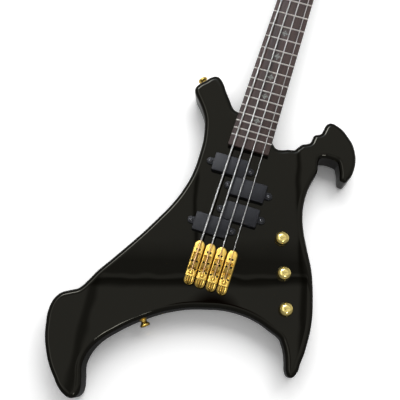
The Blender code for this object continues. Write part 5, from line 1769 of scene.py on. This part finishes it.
class BASS_OT_controls(bpy.types.Operator):
    """Turn the three domed knobs"""
    bl_idname = "bass.controls"
    bl_label = "Controls"

    def execute(self, context):
        make_controls()
        return {"FINISHED"}


class BASS_OT_covers(bpy.types.Operator):
    """Fit the cavity cover, neck plate and rod cover with their screws"""
    bl_idname = "bass.covers"
    bl_label = "Covers"

    def execute(self, context):
        make_covers(context.scene.bass_form)
        return {"FINISHED"}


class BASS_OT_fittings(bpy.types.Operator):
    """Turn the output socket and the strap buttons"""
    bl_idname = "bass.fittings"
    bl_label = "Socket and buttons"

    def execute(self, context):
        make_fittings()
        return {"FINISHED"}


class BASS_OT_tuners(bpy.types.Operator):
    """Make the four worm tuners"""
    bl_idname = "bass.tuners"
    bl_label = "Tuners"

    def execute(self, context):
        make_tuners(context.scene.bass_form)
        return {"FINISHED"}


class BASS_OT_stage(bpy.types.Operator):
    """Set up the floor, lamps, world and camera"""
    bl_idname = "bass.stage"
    bl_label = "Stage"

    def execute(self, context):
        make_stage(context.scene.bass_stage)
        return {"FINISHED"}


OPERATORS = (BASS_OT_finishes, BASS_OT_body, BASS_OT_neck, BASS_OT_fretboard, BASS_OT_strings,
             BASS_OT_bridge, BASS_OT_pickups, BASS_OT_controls, BASS_OT_covers, BASS_OT_fittings,
             BASS_OT_tuners, BASS_OT_stage)


class BASS_PT_sidebar(bpy.types.Panel):
    """Lists the steps of the bass guitar and its settings"""
    bl_idname = "BASS_PT_sidebar"
    bl_label = "Bass guitar"
    bl_space_type = "VIEW_3D"
    bl_region_type = "UI"
    bl_category = "Bass"

    def draw(self, context):
        for settings in (context.scene.bass_form, context.scene.bass_finish, context.scene.bass_stage):
            box_layout = self.layout.box()
            for name in settings.__annotations__:
                box_layout.prop(settings, name)
        for operator in OPERATORS:
            self.layout.operator(operator.bl_idname)


CLASSES = (BassForm, BassFinish, BassStage, *OPERATORS, BASS_PT_sidebar)


def register():
    for item in CLASSES:
        bpy.utils.register_class(item)
    bpy.types.Scene.bass_form = PointerProperty(type=BassForm)
    bpy.types.Scene.bass_finish = PointerProperty(type=BassFinish)
    bpy.types.Scene.bass_stage = PointerProperty(type=BassStage)


def unregister():
    del bpy.types.Scene.bass_stage
    del bpy.types.Scene.bass_finish
    del bpy.types.Scene.bass_form
    for item in reversed(CLASSES):
        bpy.utils.unregister_class(item)


def main():
    register()
    bpy.ops.bass.finishes()
    bpy.ops.bass.body()
    bpy.ops.bass.neck()
    bpy.ops.bass.fretboard()
    bpy.ops.bass.strings()
    bpy.ops.bass.bridge()
    bpy.ops.bass.pickups()
    bpy.ops.bass.controls()
    bpy.ops.bass.covers()
    bpy.ops.bass.fittings()
    bpy.ops.bass.tuners()
    bpy.ops.bass.stage()


if __name__ == "__main__":
    main()
